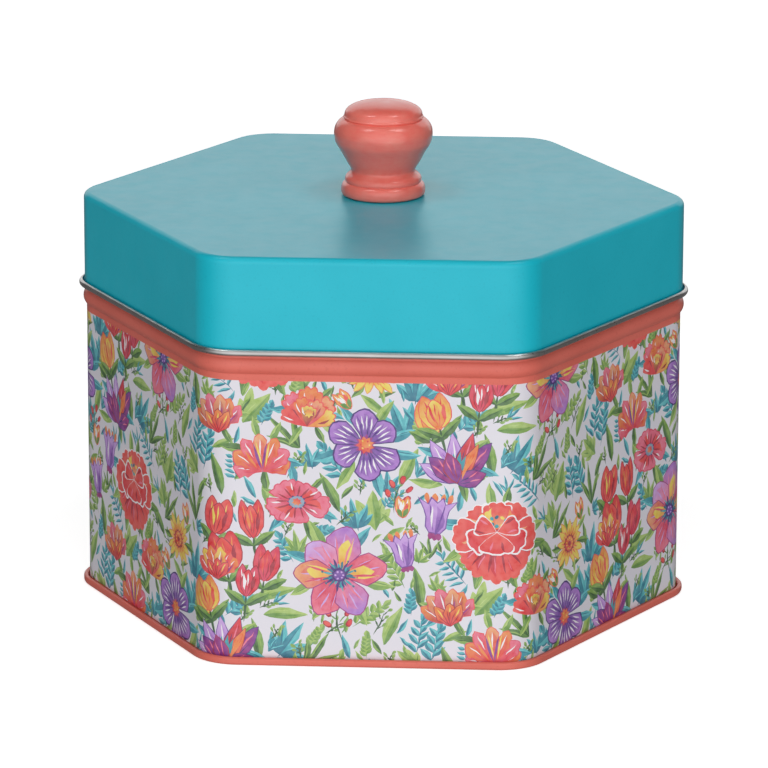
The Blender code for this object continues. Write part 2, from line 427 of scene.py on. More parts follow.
def make_lid_shell(outside, inside):
    """Drawn lid. The sheet turns outwards at its rim, so the curl shows its bare side."""
    curl_height = LID_LOW.z + LID_CURL_RADIUS + SHEET / 2
    shoulder_height = LID_HIGH.z - SHEET / 2 - LID_SHOULDER_RADIUS
    bends = [
        Bend(SKIRT_LINE + LID_CURL_RADIUS, curl_height, LID_CURL_RADIUS, 90, -180, 18, -1),
        Bend(SKIRT_LINE - LID_SHOULDER_RADIUS, shoulder_height, LID_SHOULDER_RADIUS, 0, 90, 12, 1),
    ]
    columns = np.array(corner_columns())
    surface = Surface()
    faces = []
    for side, slot in ((1, 0), (-1, 1)):
        rings = [add_ring(surface, columns, row) for row in section(bends, side)]
        top = LID_HIGH.z - (SHEET if side < 0 else 0.0)
        rings.append(add_round_ring(surface, columns, SCREW_HOLE_RADIUS, top, side))
        for first, second in zip(rings, rings[1:]):
            surface.strip(first, second, slot, flip=side < 0)
        faces.append(rings)
    surface.strip(faces[1][0], faces[0][0], 1)
    surface.strip(faces[1][-1], faces[0][-1], 1, flip=True)
    return surface.build("lid_shell_fine", (outside, inside))


def make_base_panel(outside, inside):
    """Seamed bottom: end hook, seaming wall, foot, chuck wall and recessed panel."""
    foot_height = SHEET / 2 + FOOT_RADIUS
    step_swing = 2 * math.degrees(math.atan(PANEL_STEP_RISE / PANEL_STEP_RUN))
    step_radius = PANEL_STEP_RUN / (2 * math.sin(math.radians(step_swing)))
    step_end = PANEL_STEP_START - PANEL_STEP_RUN
    step_top = PANEL_HEIGHT + PANEL_STEP_RISE
    turn = (END_HOOK_LINE + SEAMING_LINE) / 2
    bends = [
        Bend(END_HOOK_LINE + HOOK_RADIUS, END_HOOK_TIP, HOOK_RADIUS, 180, 180, 0, 1),
        Bend(turn, END_TURN_HEIGHT, HOOK_RADIUS, 180, 0, 12, 1),
        Bend(SEAMING_LINE - FOOT_RADIUS, foot_height, FOOT_RADIUS, 0, -90, 8, 1),
        Bend(CHUCK_LINE + FOOT_RADIUS, foot_height, FOOT_RADIUS, 270, 180, 8, 1),
        Bend(CHUCK_LINE - FOOT_RADIUS, PANEL_HEIGHT - FOOT_RADIUS, FOOT_RADIUS, 0, 90, 8, -1),
        Bend(PANEL_STEP_START, PANEL_HEIGHT + step_radius, step_radius, -90, -90 - step_swing, 5, 1),
        Bend(step_end, step_top - step_radius, step_radius, 90 - step_swing, 90, 5, -1),
    ]
    columns = np.array(corner_columns())
    surface = Surface()
    hooks = []
    for side, slot in ((1, 0), (-1, 1)):
        rings = [add_ring(surface, columns, row) for row in section(bends, side)]
        for first, second in zip(rings, rings[1:]):
            surface.strip(first, second, slot, flip=side > 0)
        cap = rings[-1][::-1] if side > 0 else rings[-1]
        surface.add_faces([cap], slot)
        hooks.append(rings[0])
    surface.strip(hooks[1], hooks[0], 1, flip=True)
    return surface.build("base_panel_fine", (outside, inside))


# ---------------------------------------------------------------------------
# Knob, with heights above its own foot
# ---------------------------------------------------------------------------

KNOB_STEPS = 112
DOME_RADIUS = 13.35
DOME_BASE = 27.5
DOME_RISE = 4.7
DOME_FULLNESS = 2.4
NECK = ((13.35, 27.5), (13.6, 27.25), (13.7, 26.95), (13.55, 26.7), (13.4, 26.55), (13.6, 26.45))
BULB = ((13.6, 26.45), (14.2, 26.2), (15.0, 25.65), (15.8, 24.8), (16.4, 23.75), (16.78, 22.6),
        (16.9, 21.4))
WAIST = ((16.9, 21.4), (16.75, 20.0), (16.2, 17.9), (14.5, 15.1), (12.75, 11.9), (11.3, 9.4),
         (11.05, 8.5), (11.6, 7.6), (12.3, 6.95))
COLLAR = ((12.3, 6.95), (12.85, 6.35), (13.15, 5.5), (13.1, 4.85), (12.95, 4.5))
FLANGE = ((12.95, 4.5), (13.4, 4.2), (14.0, 3.55), (14.35, 2.5), (14.4, 1.4), (14.25, 0.55),
          (13.75, 0.0))
KNOB_BORE_RADIUS = 3.6
KNOB_BORE_DEPTH = 13.0
KNOB_BORE_BEVEL = 0.4
KNOB_LUMPS = 0.09


def smooth_path(points, steps):
    """Catmull-Rom curve through the points."""
    points = np.array(points, float)
    before = 2 * points[0] - points[1]
    after = 2 * points[-1] - points[-2]
    padded = np.vstack((before, points, after))
    curve = []
    for index in range(len(points) - 1):
        a, b, c, d = padded[index:index + 4]
        for t in np.linspace(0, 1, steps, endpoint=False):
            curve.append(0.5 * (2 * b + (c - a) * t + (2 * a - 5 * b + 4 * c - d) * t ** 2
                                + (3 * b - a - 3 * c + d) * t ** 3))
    curve.append(points[-1])
    return [tuple(point) for point in curve]


def knob_profile():
    """Dome, neck, bulb, waist, collar and flange, from the top down, then the bore."""
    profile = []
    for angle in np.radians(np.linspace(89, 0, 22)):
        across = DOME_RADIUS * math.cos(angle) ** (2 / DOME_FULLNESS)
        profile.append((across, DOME_BASE + DOME_RISE * math.sin(angle) ** (2 / DOME_FULLNESS)))
    for run in (NECK, BULB, WAIST, COLLAR, FLANGE):
        profile += smooth_path(run, 4)[1:]
    profile += [(KNOB_BORE_RADIUS + KNOB_BORE_BEVEL, 0.0), (KNOB_BORE_RADIUS, KNOB_BORE_BEVEL)]
    return profile + [(KNOB_BORE_RADIUS, KNOB_BORE_DEPTH)]


def turned(name, profile, steps, foot, material, crown, floor, lump=0.0):
    """Lathe a profile, listed from the top down; crown and floor are its end centres."""
    angles = np.linspace(0, 2 * math.pi, steps, endpoint=False)
    points = [(0.0, 0.0, crown)]
    for radius, height in profile:
        points += [(radius * math.cos(a), radius * math.sin(a), height) for a in angles]
    points.append((0.0, 0.0, floor))
    faces = [(0, 1 + index, 1 + (index + 1) % steps) for index in range(steps)]
    for ring in range(len(profile) - 1):
        upper, lower = 1 + ring * steps, 1 + (ring + 1) * steps
        for index in range(steps):
            after = (index + 1) % steps
            faces.append((upper + index, lower + index, lower + after, upper + after))
    last = 1 + (len(profile) - 1) * steps
    end = len(points) - 1
    faces += [(last + index, end, last + (index + 1) % steps) for index in range(steps)]
    if lump:
        points = [lumpy(Vector(point), lump) for point in points]
    mesh = bpy.data.meshes.new(name)
    mesh.from_pydata([Vector(point) * MM + foot for point in points], [], faces)
    mesh.materials.append(material)
    mesh.shade_smooth()
    mesh.set_sharp_from_angle(angle=math.radians(50))
    return link(name, mesh)


def lumpy(point, depth):
    """Hand-painted unevenness: the surface swells and sinks a little across its radius."""
    around = Vector((point.x, point.y, 0.0))
    if around.length < KNOB_BORE_RADIUS + 0.5:
        return point
    swell = noise.noise(point * 0.22) + 0.6 * noise.noise(point * 0.75)
    return point + around.normalized() * depth * (swell - 0.8)


# ---------------------------------------------------------------------------
# Garden: brush, outlines and strokes, in millimetres
# ---------------------------------------------------------------------------

TEAL = ink(52, 172, 184)
PALE_TEAL = ink(112, 206, 210)
DARK_TEAL = ink(26, 126, 152)
OLIVE = ink(154, 188, 92)
PALE_OLIVE = ink(186, 208, 122)
MID_GREEN = ink(112, 158, 76)
DARK_GREEN = ink(62, 108, 58)
CORAL = ink(238, 88, 78)
RED = ink(226, 46, 62)
CRIMSON = ink(178, 30, 60)
ORANGE = ink(250, 144, 62)
PEACH = ink(250, 170, 118)
YELLOW = ink(250, 212, 84)
PINK = ink(238, 122, 148)
HOT_PINK = ink(222, 64, 104)
LILAC = ink(182, 128, 210)
PALE_LILAC = ink(206, 168, 226)
PURPLE = ink(124, 72, 170)
DARK_PURPLE = ink(78, 42, 132)
VIOLET = ink(140, 52, 158)
MAGENTA = ink(170, 36, 136)
BARE = ink(240, 232, 242)

TEALS = (TEAL, PALE_TEAL, DARK_TEAL)
GREENS = (MID_GREEN, OLIVE, DARK_GREEN)
OLIVES = (OLIVE, PALE_OLIVE, MID_GREEN)


def between(first, second, share=0.5):
    return tuple(a + (b - a) * share for a, b in zip(first, second))


class Brush:
    """Paints flat shapes about one place of the garden, turned and sized."""

    WOBBLE = 0.42

    def __init__(self, shapes, place, turn=0.0, size=1.0, axes=None):
        self.shapes = shapes
        self.place = np.array(place, float)
        angle = math.radians(turn)
        turning = ((math.cos(angle), math.sin(angle)), (-math.sin(angle), math.cos(angle)))
        self.axes = size * np.array(turning) @ (np.eye(2) if axes is None else axes)

    def moved(self, x=0.0, y=0.0, turn=0.0, size=1.0):
        place = self.place + np.array((x, y)) @ self.axes
        return Brush(self.shapes, place, turn, size, self.axes)

    def paint(self, shape, near, far=None, start=(0, 0), end=(0, 1)):
        """One shape with a hand-drawn edge, whose ink fades from near to far."""
        ends = np.array((start, end), float) @ self.axes + self.place
        points = np.array(shape, float) @ self.axes + self.place
        shifts = [noise.noise_vector(Vector((0.5 * x, 0.5 * y, 3.0))).to_2d() for x, y in points]
        self.shapes.append((points + self.WOBBLE * np.array(shifts), near, far or near, ends))


def petal(length, width, blunt=0.7, widest=0.6, lean=0.0, ruffle=0.0, waves=3.0, steps=8):
    """Petal or leaf from (0, 0) along +y, pointed where blunt is 1 and rounder below."""
    along = (1 - np.cos(np.linspace(0, np.pi, steps + 1))) / 2
    power = math.log(0.5) / math.log(widest)
    half = width / 2 * np.abs(np.sin(np.pi * along ** power)) ** blunt
    middle = lean * length * along ** 2
    left = half * (1 + ruffle * np.sin(2 * np.pi * waves * along))
    right = half * (1 + ruffle * np.cos(2 * np.pi * waves * along))
    up = np.column_stack((middle - left, length * along))
    down = np.column_stack((middle + right, length * along))[-2:0:-1]
    return np.vstack((up, down))


def frilled(length, width, frills, depth, steps_each=4):
    """Petal whose far edge is a row of scallops."""
    points = [(0.0, 0.0), (-width * 0.30, length * 0.35), (-width * 0.48, length * 0.66)]
    count = frills * steps_each
    for index in range(count + 1):
        angle = math.pi * (0.86 - 0.72 * index / count)
        scallop = 1 + depth * abs(math.sin(math.pi * index / steps_each))
        points.append((width * 0.55 * math.cos(angle) * scallop,
                       length * (0.62 + 0.36 * math.sin(angle) * scallop)))
    points += [(width * 0.48, length * 0.66), (width * 0.30, length * 0.35)]
    return np.array(points)


def half_petal(length, width, widest=0.45, lean=0.0, side=1, blunt=0.9):
    """The half of a leaf or petal on one side of its middle."""
    whole = petal(length, width, blunt, widest, lean, steps=8)
    if side < 0:
        edge = whole[:9]
    else:
        edge = np.vstack((whole[0], whole[9:][::-1], whole[8]))
    along = np.linspace(1, 0, 5)[1:-1]
    vein = np.column_stack((lean * length * along ** 2, length * along))
    return np.vstack((edge, vein))


def streak(start, end, width, bow=0.0, blunt=1.0):
    """Thin stroke between two points, thickest in its middle."""
    start, end = np.array(start, float), np.array(end, float)
    run = end - start
    side = np.array((-run[1], run[0])) / max(np.hypot(*run), 1e-6)
    along = np.array((0.0, 0.2, 0.5, 0.8, 1.0))
    swell = np.sin(np.pi * along) ** blunt
    middle = start + run * along[:, None] + side * (bow * swell)[:, None]
    thick = side * (width / 2 * swell)[:, None]
    return np.vstack((middle + thick, (middle - thick)[-2:0:-1]))


def dot(x, y, radius, steps=7, squash=1.0):
    angles = np.linspace(0, 2 * np.pi, steps, endpoint=False)
    return np.column_stack((x + radius * np.cos(angles), y + radius * squash * np.sin(angles)))


def burst(radius, spikes, depth):
    """Ragged disc."""
    angles = np.linspace(0, 2 * np.pi, 2 * spikes, endpoint=False)
    reach = np.where(np.arange(2 * spikes) % 2, radius, radius * (1 - depth))
    return np.column_stack((reach * np.cos(angles), reach * np.sin(angles)))


def painted_petal(brush, length, width, rim, near, far, light, dashes=3, rim_width=0.34, **form):
    """A rim, a wash that fades to the tip, a shaded half, two veins and light dashes."""
    brush.paint(petal(length, width, **form), rim)
    inner = petal(length - 2 * rim_width, width - 2 * rim_width, **form)
    brush.moved(0, rim_width).paint(inner, near, far, (0, 0.1 * length), (0, 0.9 * length))
    lean = form.get("lean", 0.0)
    shaded = half_petal(length * 0.82, width * 0.62, form.get("widest", 0.6), lean, 1, 0.7)
    brush.moved(0, rim_width).paint(shaded, near, between(near, far, 0.55), (0, 0), (0, length * 0.8))
    lean *= length
    for side in (-1, 1):
        tip = (side * width * 0.18 + 0.45 * lean, length * 0.66)
        brush.paint(streak((side * 0.15, length * 0.08), tip, 0.42, bow=-side * 0.2), rim)
    for index in range(dashes):
        share = (index + 0.5) / dashes - 0.5
        start = (share * width * 0.55 + 0.2 * lean, length * (0.42 - 0.12 * abs(share)))
        end = (share * width * 0.82 + 0.6 * lean, length * (0.86 - 0.35 * abs(share)))
        brush.paint(streak(start, end, 0.55, bow=0.25 * share), light)


def frilled_petal(brush, reach, width, frills, depth, inks, fade, inset=0.3, trim=(0.8, 0.9)):
    """A frilled rim, and inside it a wash that fades over a range of heights.

    inks are the rim's, the wash's near and its far ink; trim is how much shorter and
    narrower the wash is.
    """
    brush.paint(frilled(reach, width, frills, depth), inks[0])
    wash = frilled(reach - trim[0], width - trim[1], frills, depth)
    brush.moved(0, inset).paint(wash, *inks[1:], (0, fade[0]), (0, fade[1]))


def dot_ring(brush, count, reach, radius, *inks):
    """Small dots round the middle, in the inks by turns."""
    for index in range(count):
        angle = 2 * math.pi * index / count
        place = (reach * math.cos(angle), reach * math.sin(angle))
        brush.paint(dot(*place, radius, 5), inks[index % len(inks)])


# ---------------------------------------------------------------------------
# Flowers
# ---------------------------------------------------------------------------

def cosmos(brush):
    """Six parted purple petals with white dashes round a coral eye."""
    for index in range(6):
        one = brush.moved(turn=60 * index + 2 + 5 * math.sin(index * 2.7))
        form = {"blunt": 0.62, "widest": 0.70, "ruffle": 0.07}
        length = 12.6 + 0.9 * math.sin(index * 2.1)
        painted_petal(one, length, 8.9, DARK_PURPLE, PURPLE, LILAC, BARE, 4, 0.5, **form)
        for side in (-1, 1):
            one.paint(streak((side * 0.6, 3), (side * 2.6, length * 0.8), 0.6, side * 0.5), PURPLE)
    brush.paint(burst(3.8, 11, 0.35), MAGENTA)
    brush.paint(burst(3.1, 9, 0.3), RED, ORANGE, (-2, -2), (2, 2))
    brush.paint(dot(0.3, 0.3, 1.5), ORANGE)
    dot_ring(brush, 6, 1.5, 0.36, YELLOW, RED)


def anemone(brush):
    """Large lilac and pink bloom with sunny flushes and teal stamens."""
    petals = (
        (-8, 17.4, 12.0, PINK, LILAC), (44, 15.2, 11.2, PINK, PALE_LILAC),
        (88, 15.4, 10.2, HOT_PINK, PEACH), (152, 15.8, 10.8, HOT_PINK, PINK),
        (208, 15.4, 11.0, PINK, LILAC), (283, 16.4, 10.8, HOT_PINK, PINK),
    )
    for index, (turn, length, width, near, far) in enumerate(petals):
        one = brush.moved(turn=turn)
        form = {"blunt": 0.68, "widest": 0.60, "ruffle": 0.08, "waves": 2.0}
        painted_petal(one, length, width, MAGENTA, near, far, PALE_LILAC, 3, **form)
        if index in (2, 5, 0):
            one.paint(petal(length * 0.72, 4.6, 0.8, 0.6, 0.1), ORANGE, YELLOW, (0, 2), (0, 9))
            one.paint(streak((1.6, 3), (3.0, length * 0.8), 1.0), YELLOW)
        for side in (-1, 1):
            one.paint(streak((side, 3), (side * 3.2, length * 0.78), 0.7, side * 0.4), near)
    for index in range(28):
        angle = 2 * math.pi * index / 28 + 0.1 * math.sin(index)
        reach = 5.0 + 1.2 * math.sin(index * 2.6)
        tip = (reach * math.cos(angle), reach * math.sin(angle))
        base = (1.4 * math.cos(angle), 1.4 * math.sin(angle))
        brush.paint(streak(base, tip, 0.85), (DARK_TEAL, TEAL, DARK_PURPLE)[index % 3])
        if index % 2:
            brush.paint(dot(*tip, 0.44, 5), DARK_TEAL if index % 4 == 1 else HOT_PINK)
    brush.paint(burst(2.7, 10, 0.22), DARK_PURPLE)
    brush.paint(dot(0, 0, 1.8, 9), PURPLE)
    dot_ring(brush, 6, 1.2, 0.36, PALE_LILAC)


def poppy(brush):
    """Five wide ragged petals, seen a little from the side, round a grey-blue eye."""
    brush = Brush(brush.shapes, brush.place, 0, 1.0, brush.axes @ np.diag((1.06, 0.84)))
    for index in range(5):
        one = brush.moved(turn=72 * index + 24 + 7 * math.sin(index * 2.3))
        reach = 9.6 + 1.5 * math.sin(index * 2.9)
        inks = (HOT_PINK, HOT_PINK, PINK)
        frilled_petal(one, reach, 9.8, 4, 0.15, inks, (2, 7), inset=0.4, trim=(0.9, 0.9))
        shaded = half_petal(reach * 0.78, 6.6, 0.6, 0.1, 1 - 2 * (index % 2))
        one.paint(shaded, RED, CORAL, (0, 2), (0, 8))
        for share in (-0.28, 0.0, 0.28):
            one.paint(streak((share * 4, 2.0), (share * 11, 7.2 - 3 * abs(share)), 0.7), CRIMSON)
        one.paint(streak((1.6, 4.6), (3.2, 7.8), 0.6), BARE)
    brush.paint(burst(3.1, 12, 0.25), DARK_PURPLE)
    brush.paint(dot(0, 0, 2.5, 11), ink(150, 170, 190))
    brush.paint(burst(1.7, 7, 0.3), ORANGE, RED, (-1, -1), (1, 1))


def parrot_tulip(brush, height=15.0, inks=(ORANGE, PINK, PEACH), base=CRIMSON):
    """Ragged tulip whose petals fan out of a dark cup."""
    fan = ((-48, 0.92), (46, 0.95), (-28, 1.02), (27, 1.0), (-10, 1.06), (11, 1.03))
    for index, (lean, share) in enumerate(fan):
        one = brush.moved(turn=-lean)
        far = inks[index % len(inks)]
        rim = CORAL if index % 2 else HOT_PINK
        form = {"blunt": 0.8, "widest": 0.66, "ruffle": 0.22, "waves": 3.5, "steps": 11}
        painted_petal(one, height * share, height * 0.40, rim, base, far, BARE, 1, **form)
        one.paint(streak((0.4, height * 0.2), (0.9, height * 0.72), 0.9), (RED, MAGENTA)[index % 2])
    for lean in (-30, 6, 34):
        one = brush.moved(turn=-lean)
        form = {"blunt": 0.85, "widest": 0.52, "ruffle": 0.14, "waves": 2.5}
        painted_petal(one, height * 0.66, height * 0.34, CRIMSON, RED, inks[0], YELLOW, 1, **form)


def open_tulip(brush, height=14.0, width=20.0):
    """Wide open tulip: drooping outer petals, violet shadow, orange tips."""
    for lean, share, far in ((-76, 0.76, PINK), (74, 0.78, ORANGE), (-50, 0.92, ORANGE), (52, 0.9, PINK)):
        one = brush.moved(turn=-lean)
        form = {"blunt": 0.75, "widest": 0.68, "ruffle": 0.18, "waves": 3.0, "steps": 11}
        painted_petal(one, height * share, width * 0.34, HOT_PINK, RED, far, BARE, 1, **form)
    brush.paint(petal(height * 0.86, width * 0.42, 0.8, 0.6), VIOLET, LILAC, (0, 0), (0, height * 0.7))
    for lean, share, far in ((-26, 1.04, PINK), (26, 1.0, ORANGE), (0, 1.04, PEACH)):
        one = brush.moved(turn=-lean)
        form = {"blunt": 0.78, "widest": 0.68, "ruffle": 0.18, "waves": 3.5, "steps": 11}
        painted_petal(one, height * share, width * 0.28, CORAL, RED, far, BARE, 1, **form)
        one.paint(streak((-0.8, 2), (-1.6, height * 0.74), 1.0), ORANGE)
    for lean in (-12, 12):
        one = brush.moved(turn=-lean)
        one.paint(streak((0, 1), (0, height * 0.8), 1.1), VIOLET)
        one.paint(streak((0.8, 2), (1.1, height * 0.86), 0.7), YELLOW)


def parrot_rose(brush, radius=8.5):
    """Ruffled orange rose seen from the side, in layers from back to front."""
    layers = (
        (-38, 1.06, 0.9, HOT_PINK, PINK), (36, 1.04, 0.9, CORAL, PEACH),
        (0, 1.14, 1.0, CORAL, ORANGE), (-64, 0.82, 0.8, RED, CORAL),
        (62, 0.84, 0.8, ORANGE, YELLOW), (-20, 0.84, 0.8, RED, ORANGE),
        (22, 0.82, 0.8, HOT_PINK, PEACH), (0, 0.62, 0.7, CRIMSON, YELLOW),
    )
    for index, (lean, share, wide, near, far) in enumerate(layers):
        one = brush.moved(0, -radius * 0.72, turn=-lean * 0.9)
        reach = radius * 1.5 * share
        fade = (reach * 0.2, reach * 0.95)
        frilled_petal(one, reach, radius * 1.04 * wide, 4, 0.2, (CORAL, near, far), fade)
        one.paint(half_petal(reach * 0.86, radius * 0.5, 0.6, 0.0, 1 - 2 * (index % 2)),
                  near, between(near, far), (0, 0), (0, reach * 0.8))
        one.paint(streak((-1.2, reach * 0.5), (-2.2, reach * 0.86), 0.6, 0.3), BARE)
        one.paint(streak((0.6, reach * 0.35), (1.5, reach * 0.8), 0.9, -0.3), CRIMSON)
    brush.moved(0, -1.2).paint(burst(1.7, 7, 0.4), YELLOW, ORANGE, (0, -1), (0, 1))


def lotus(brush):
    """Violet and red lotus with lilac petals behind and a teal heart."""
    for lean, length in ((-70, 14.5), (-40, 17.5), (-14, 17.5)):
        one = brush.moved(turn=-lean)
        painted_petal(one, length, 5.6, PURPLE, LILAC, PALE_LILAC, BARE, 1, blunt=1.0, widest=0.52)
    for lean, length, near, far in ((30, 18.5, MAGENTA, VIOLET), (8, 18.5, CRIMSON, RED)):
        one = brush.moved(turn=-lean)
        painted_petal(one, length, 6.4, DARK_PURPLE, near, far, PINK, 1, blunt=0.95, widest=0.46)
    one = brush.moved(turn=-18)
    painted_petal(one, 15.5, 4.6, CRIMSON, RED, ORANGE, ORANGE, 2, blunt=0.95, widest=0.46)
    heart = ((-3.6, 6.4), (-2.9, 10.4), (-1.7, 7.6), (-0.8, 11.2), (0.2, 7.6), (1.2, 10.2),
             (1.4, 5.2), (-1.0, 3.0))
    brush.paint(heart, DARK_TEAL, TEAL, (0, 3), (-2, 9))
    for lean, length, near, far in ((-54, 13.5, MAGENTA, VIOLET), (60, 10.0, VIOLET, MAGENTA)):
        one = brush.moved(turn=-lean)
        painted_petal(one, length, 6.4, DARK_PURPLE, near, far, PINK, 2, blunt=0.9, widest=0.46)
    one = brush.moved(turn=26)
    painted_petal(one, 11.5, 6.0, CRIMSON, VIOLET, MAGENTA, PINK, 2, blunt=0.9, widest=0.46)
    brush.paint(streak((1.2, 1.5), (3.6, 10.5), 1.3, 0.5), ORANGE)


def tulip(brush, height, width, near, far, rim=CRIMSON, light=YELLOW):
    """Closed tulip: two side petals behind, one in front, with a few flames."""
    for side in (-1, 1):
        one = brush.moved(side * width * 0.1, 0, turn=-side * 12)
        form = {"blunt": 0.7, "widest": 0.48, "lean": -side * 0.06}
        painted_petal(one, height * 0.98, width * 0.62, rim, near, far, light, 1, **form)
    one = brush.moved(0, -0.3)
    painted_petal(one, height * 0.86, width * 0.62, rim, far, near, light, 1, blunt=0.7, widest=0.5)
    brush.paint(streak((-width * 0.1, height * 0.2), (-width * 0.18, height * 0.7), 1.1), light)
    brush.paint(streak((width * 0.22, height * 0.14), (width * 0.3, height * 0.66), 1.2, 0.3), rim)


def bell(brush, length=12.5, width=10.5):
    """Upright lilac bell: flared tips, orange anthers above, magenta points at its foot."""
    for share in (-0.30, -0.08, 0.14, 0.34):
        tip = brush.moved(share * width, length * 0.84, turn=-40 * share)
        tip.paint(petal(length * 0.32, width * 0.17, 0.8), ORANGE, CORAL, (0, 3), (0, 0))
    for share in (-0.2, 0.2, 0.0):
        brush.moved(share * width * 0.5, length * 0.12, turn=180 + 50 * share).paint(
            petal(length * 0.26, width * 0.2, 0.9), MAGENTA)
    side = ((-0.20, 0.04), (-0.33, 0.22), (-0.36, 0.48), (-0.42, 0.70), (-0.64, 1.0), (-0.30, 0.87),
            (-0.20, 1.06), (-0.02, 0.90), (0.18, 1.07), (0.28, 0.87), (0.64, 0.98), (0.42, 0.70),
            (0.36, 0.48), (0.32, 0.22), (0.18, 0.04))
    shape = np.array(side) * (width, length)
    brush.paint(shape, PURPLE)
    brush.moved(0, 0.35).paint(shape * (0.9, 0.93), LILAC, PALE_LILAC, (-3, 0), (3, length))
    shaded = half_petal(length * 0.8, width * 0.56, 0.5)
    brush.paint(shaded, PURPLE, LILAC, (0, 0), (0, length * 0.8))
    for share in (-0.22, 0.22):
        brush.paint(streak((share * 3, length * 0.1), (share * width * 1.2, length * 0.9), 0.7), PURPLE)
    brush.paint(streak((-1.2, length * 0.2), (-1.6, length * 0.8), 0.9), BARE)


def peony(brush):
    """Big red cup in ruffled layers parted by pale lines, over a ragged skirt."""
    for turn, reach in ((128, 14.5), (228, 14.5), (152, 15.5), (207, 15.5), (180, 16)):
        one = brush.moved(0, 1.0, turn=turn)
        one.paint(frilled(reach, 10, 3, 0.22), RED, CORAL, (0, 4), (0, 14))
        one.paint(half_petal(reach * 0.9, 5.4, 0.6, 0.0, 1), CRIMSON, RED, (0, 4), (0, 14))
        for part in (-0.26, 0.22):
            one.paint(streak((part * 6, 5), (part * 13, 13), 0.9), CRIMSON)
        one.paint(streak((0.5, 7), (0.4, 13), 0.7), PINK)
    for turn, reach, width in ((38, 14, 11), (322, 15, 12), (0, 13.5, 11), (84, 15.5, 13), (276, 15.5, 13)):
        one = brush.moved(0, 0.5, turn=turn)
        inks = (BARE, RED, CORAL)
        frilled_petal(one, reach, width, 4, 0.14, inks, (4, 13), inset=0.35, trim=(0.7, 1.1))
        one.paint(half_petal(reach * 0.86, 6, 0.62, 0.0, 1), CRIMSON, CORAL, (0, 3), (0, 13))
        one.paint(streak((-1.6, 7), (-2.8, 12), 0.9), PEACH)
    heart = brush.moved(0.5, 5.5)
    petals = ((52, ORANGE, YELLOW), (330, YELLOW, ORANGE), (18, ORANGE, YELLOW), (355, PEACH, CORAL))
    for turn, near, far in petals:
        one = heart.moved(0, -1.5, turn=turn)
        frilled_petal(one, 8.2, 6.4, 3, 0.2, (CORAL, near, far), (1, 6), trim=(0.8, 1.0))
    for index in range(9):
        angle = math.radians(20 + 40 * index)
        place = (2.7 * math.cos(angle), 1.4 + 1.6 * math.sin(angle))
        heart.paint(dot(*place, 0.75, 6), (TEAL, YELLOW, DARK_TEAL)[index % 3])
    petals = ((118, 11.0, 10), (243, 11.5, 10), (180, 8.5, 13), (70, 8.0, 8), (290, 8.6, 8))
    for turn, reach, width in petals:
        one = brush.moved(0, 3.2, turn=turn)
        inks = (BARE, CORAL, RED)
        frilled_petal(one, reach, width, 3, 0.12, inks, (2, 9), inset=0.2, trim=(0.8, 1.1))
        one.paint(streak((-1.8, 3.5), (-2.6, 7.5), 1.0), CRIMSON)
        one.paint(streak((1.4, 3.5), (2.2, 7), 0.9), PINK)


def sunflower(brush):
    """Narrow yellow petals round a dotted red eye."""
    for index in range(13):
        one = brush.moved(turn=28 * index + 6 * math.sin(index * 2.0))
        length = 8.6 + 1.1 * math.sin(index * 1.7)
        one.paint(petal(length, 2.9, 0.9, 0.6), ORANGE)
        one.moved(0, 0.2).paint(petal(length - 0.5, 2.2, 0.9, 0.6), ORANGE, YELLOW, (0, 2.4), (0, 5))
        one.paint(streak((0, 2.5), (0, length * 0.62), 0.45), CORAL)
    brush.paint(burst(3.5, 14, 0.2), CRIMSON)
    brush.paint(dot(0, 0, 2.6, 11), RED, ORANGE, (-2, -2), (2, 2))
    dot_ring(brush, 9, 1.8, 0.34, YELLOW)
    brush.paint(dot(0, 0, 0.9, 7), CRIMSON)


def bud(brush, near=YELLOW, far=ORANGE):
    """Small closed bud in green sepals."""
    tulip(brush, 7.6, 4.8, near, far, rim=CORAL, light=BARE)
    for side in (-1, 1):
        brush.moved(turn=-side * 30).paint(petal(3.4, 1.5, 0.9), MID_GREEN)


def berries(brush):
    """Twig with red berries."""
    brush.paint(streak((0, 0), (0.6, 11), 0.6, bow=0.7), DARK_GREEN)
    for index, (x, y) in enumerate(((0.8, 11.6), (-2.2, 9.6), (3.2, 8.8), (-2.8, 6.2), (2.9, 5.4))):
        brush.paint(streak((0.2, y - 2.6), (x, y), 0.45), MID_GREEN)
        one = brush.moved(x, y, turn=-14 * x)
        one.paint(dot(0, 0.6, 0.95, 8, squash=1.7), CRIMSON)
        one.paint(dot(0.1, 0.7, 0.7, 8, squash=1.7), (RED, CORAL)[index % 2])


# ---------------------------------------------------------------------------
# Greenery
# ---------------------------------------------------------------------------

def stem(brush, length, width, shade, lean=0.0):
    brush.paint(streak((0, 0), (lean * length, length), width, bow=-lean * length * 0.2), shade)


def leaf(brush, length, width, inks, lean=0.0, side=1):
    """Pointed leaf with one half in shade, a vein and a pale stroke."""
    near, far, dark = inks
    brush.paint(petal(length, width, 0.95, 0.45, lean, 0.06, 2.0, 7), near, far, (0, 0), (0, length))
    brush.paint(half_petal(length, width, 0.45, lean, side), dark, near, (0, 0), (0, length))
    if length > 4.0:
        tip = (lean * length * 0.8, length * 0.86)
        brush.paint(streak((0, 0.3), tip, 0.42, bow=-lean * length * 0.22), dark)
        shift = -side * width * 0.2
        brush.paint(streak((shift, length * 0.25), (shift + lean * length * 0.3, length * 0.6), 0.4), far)


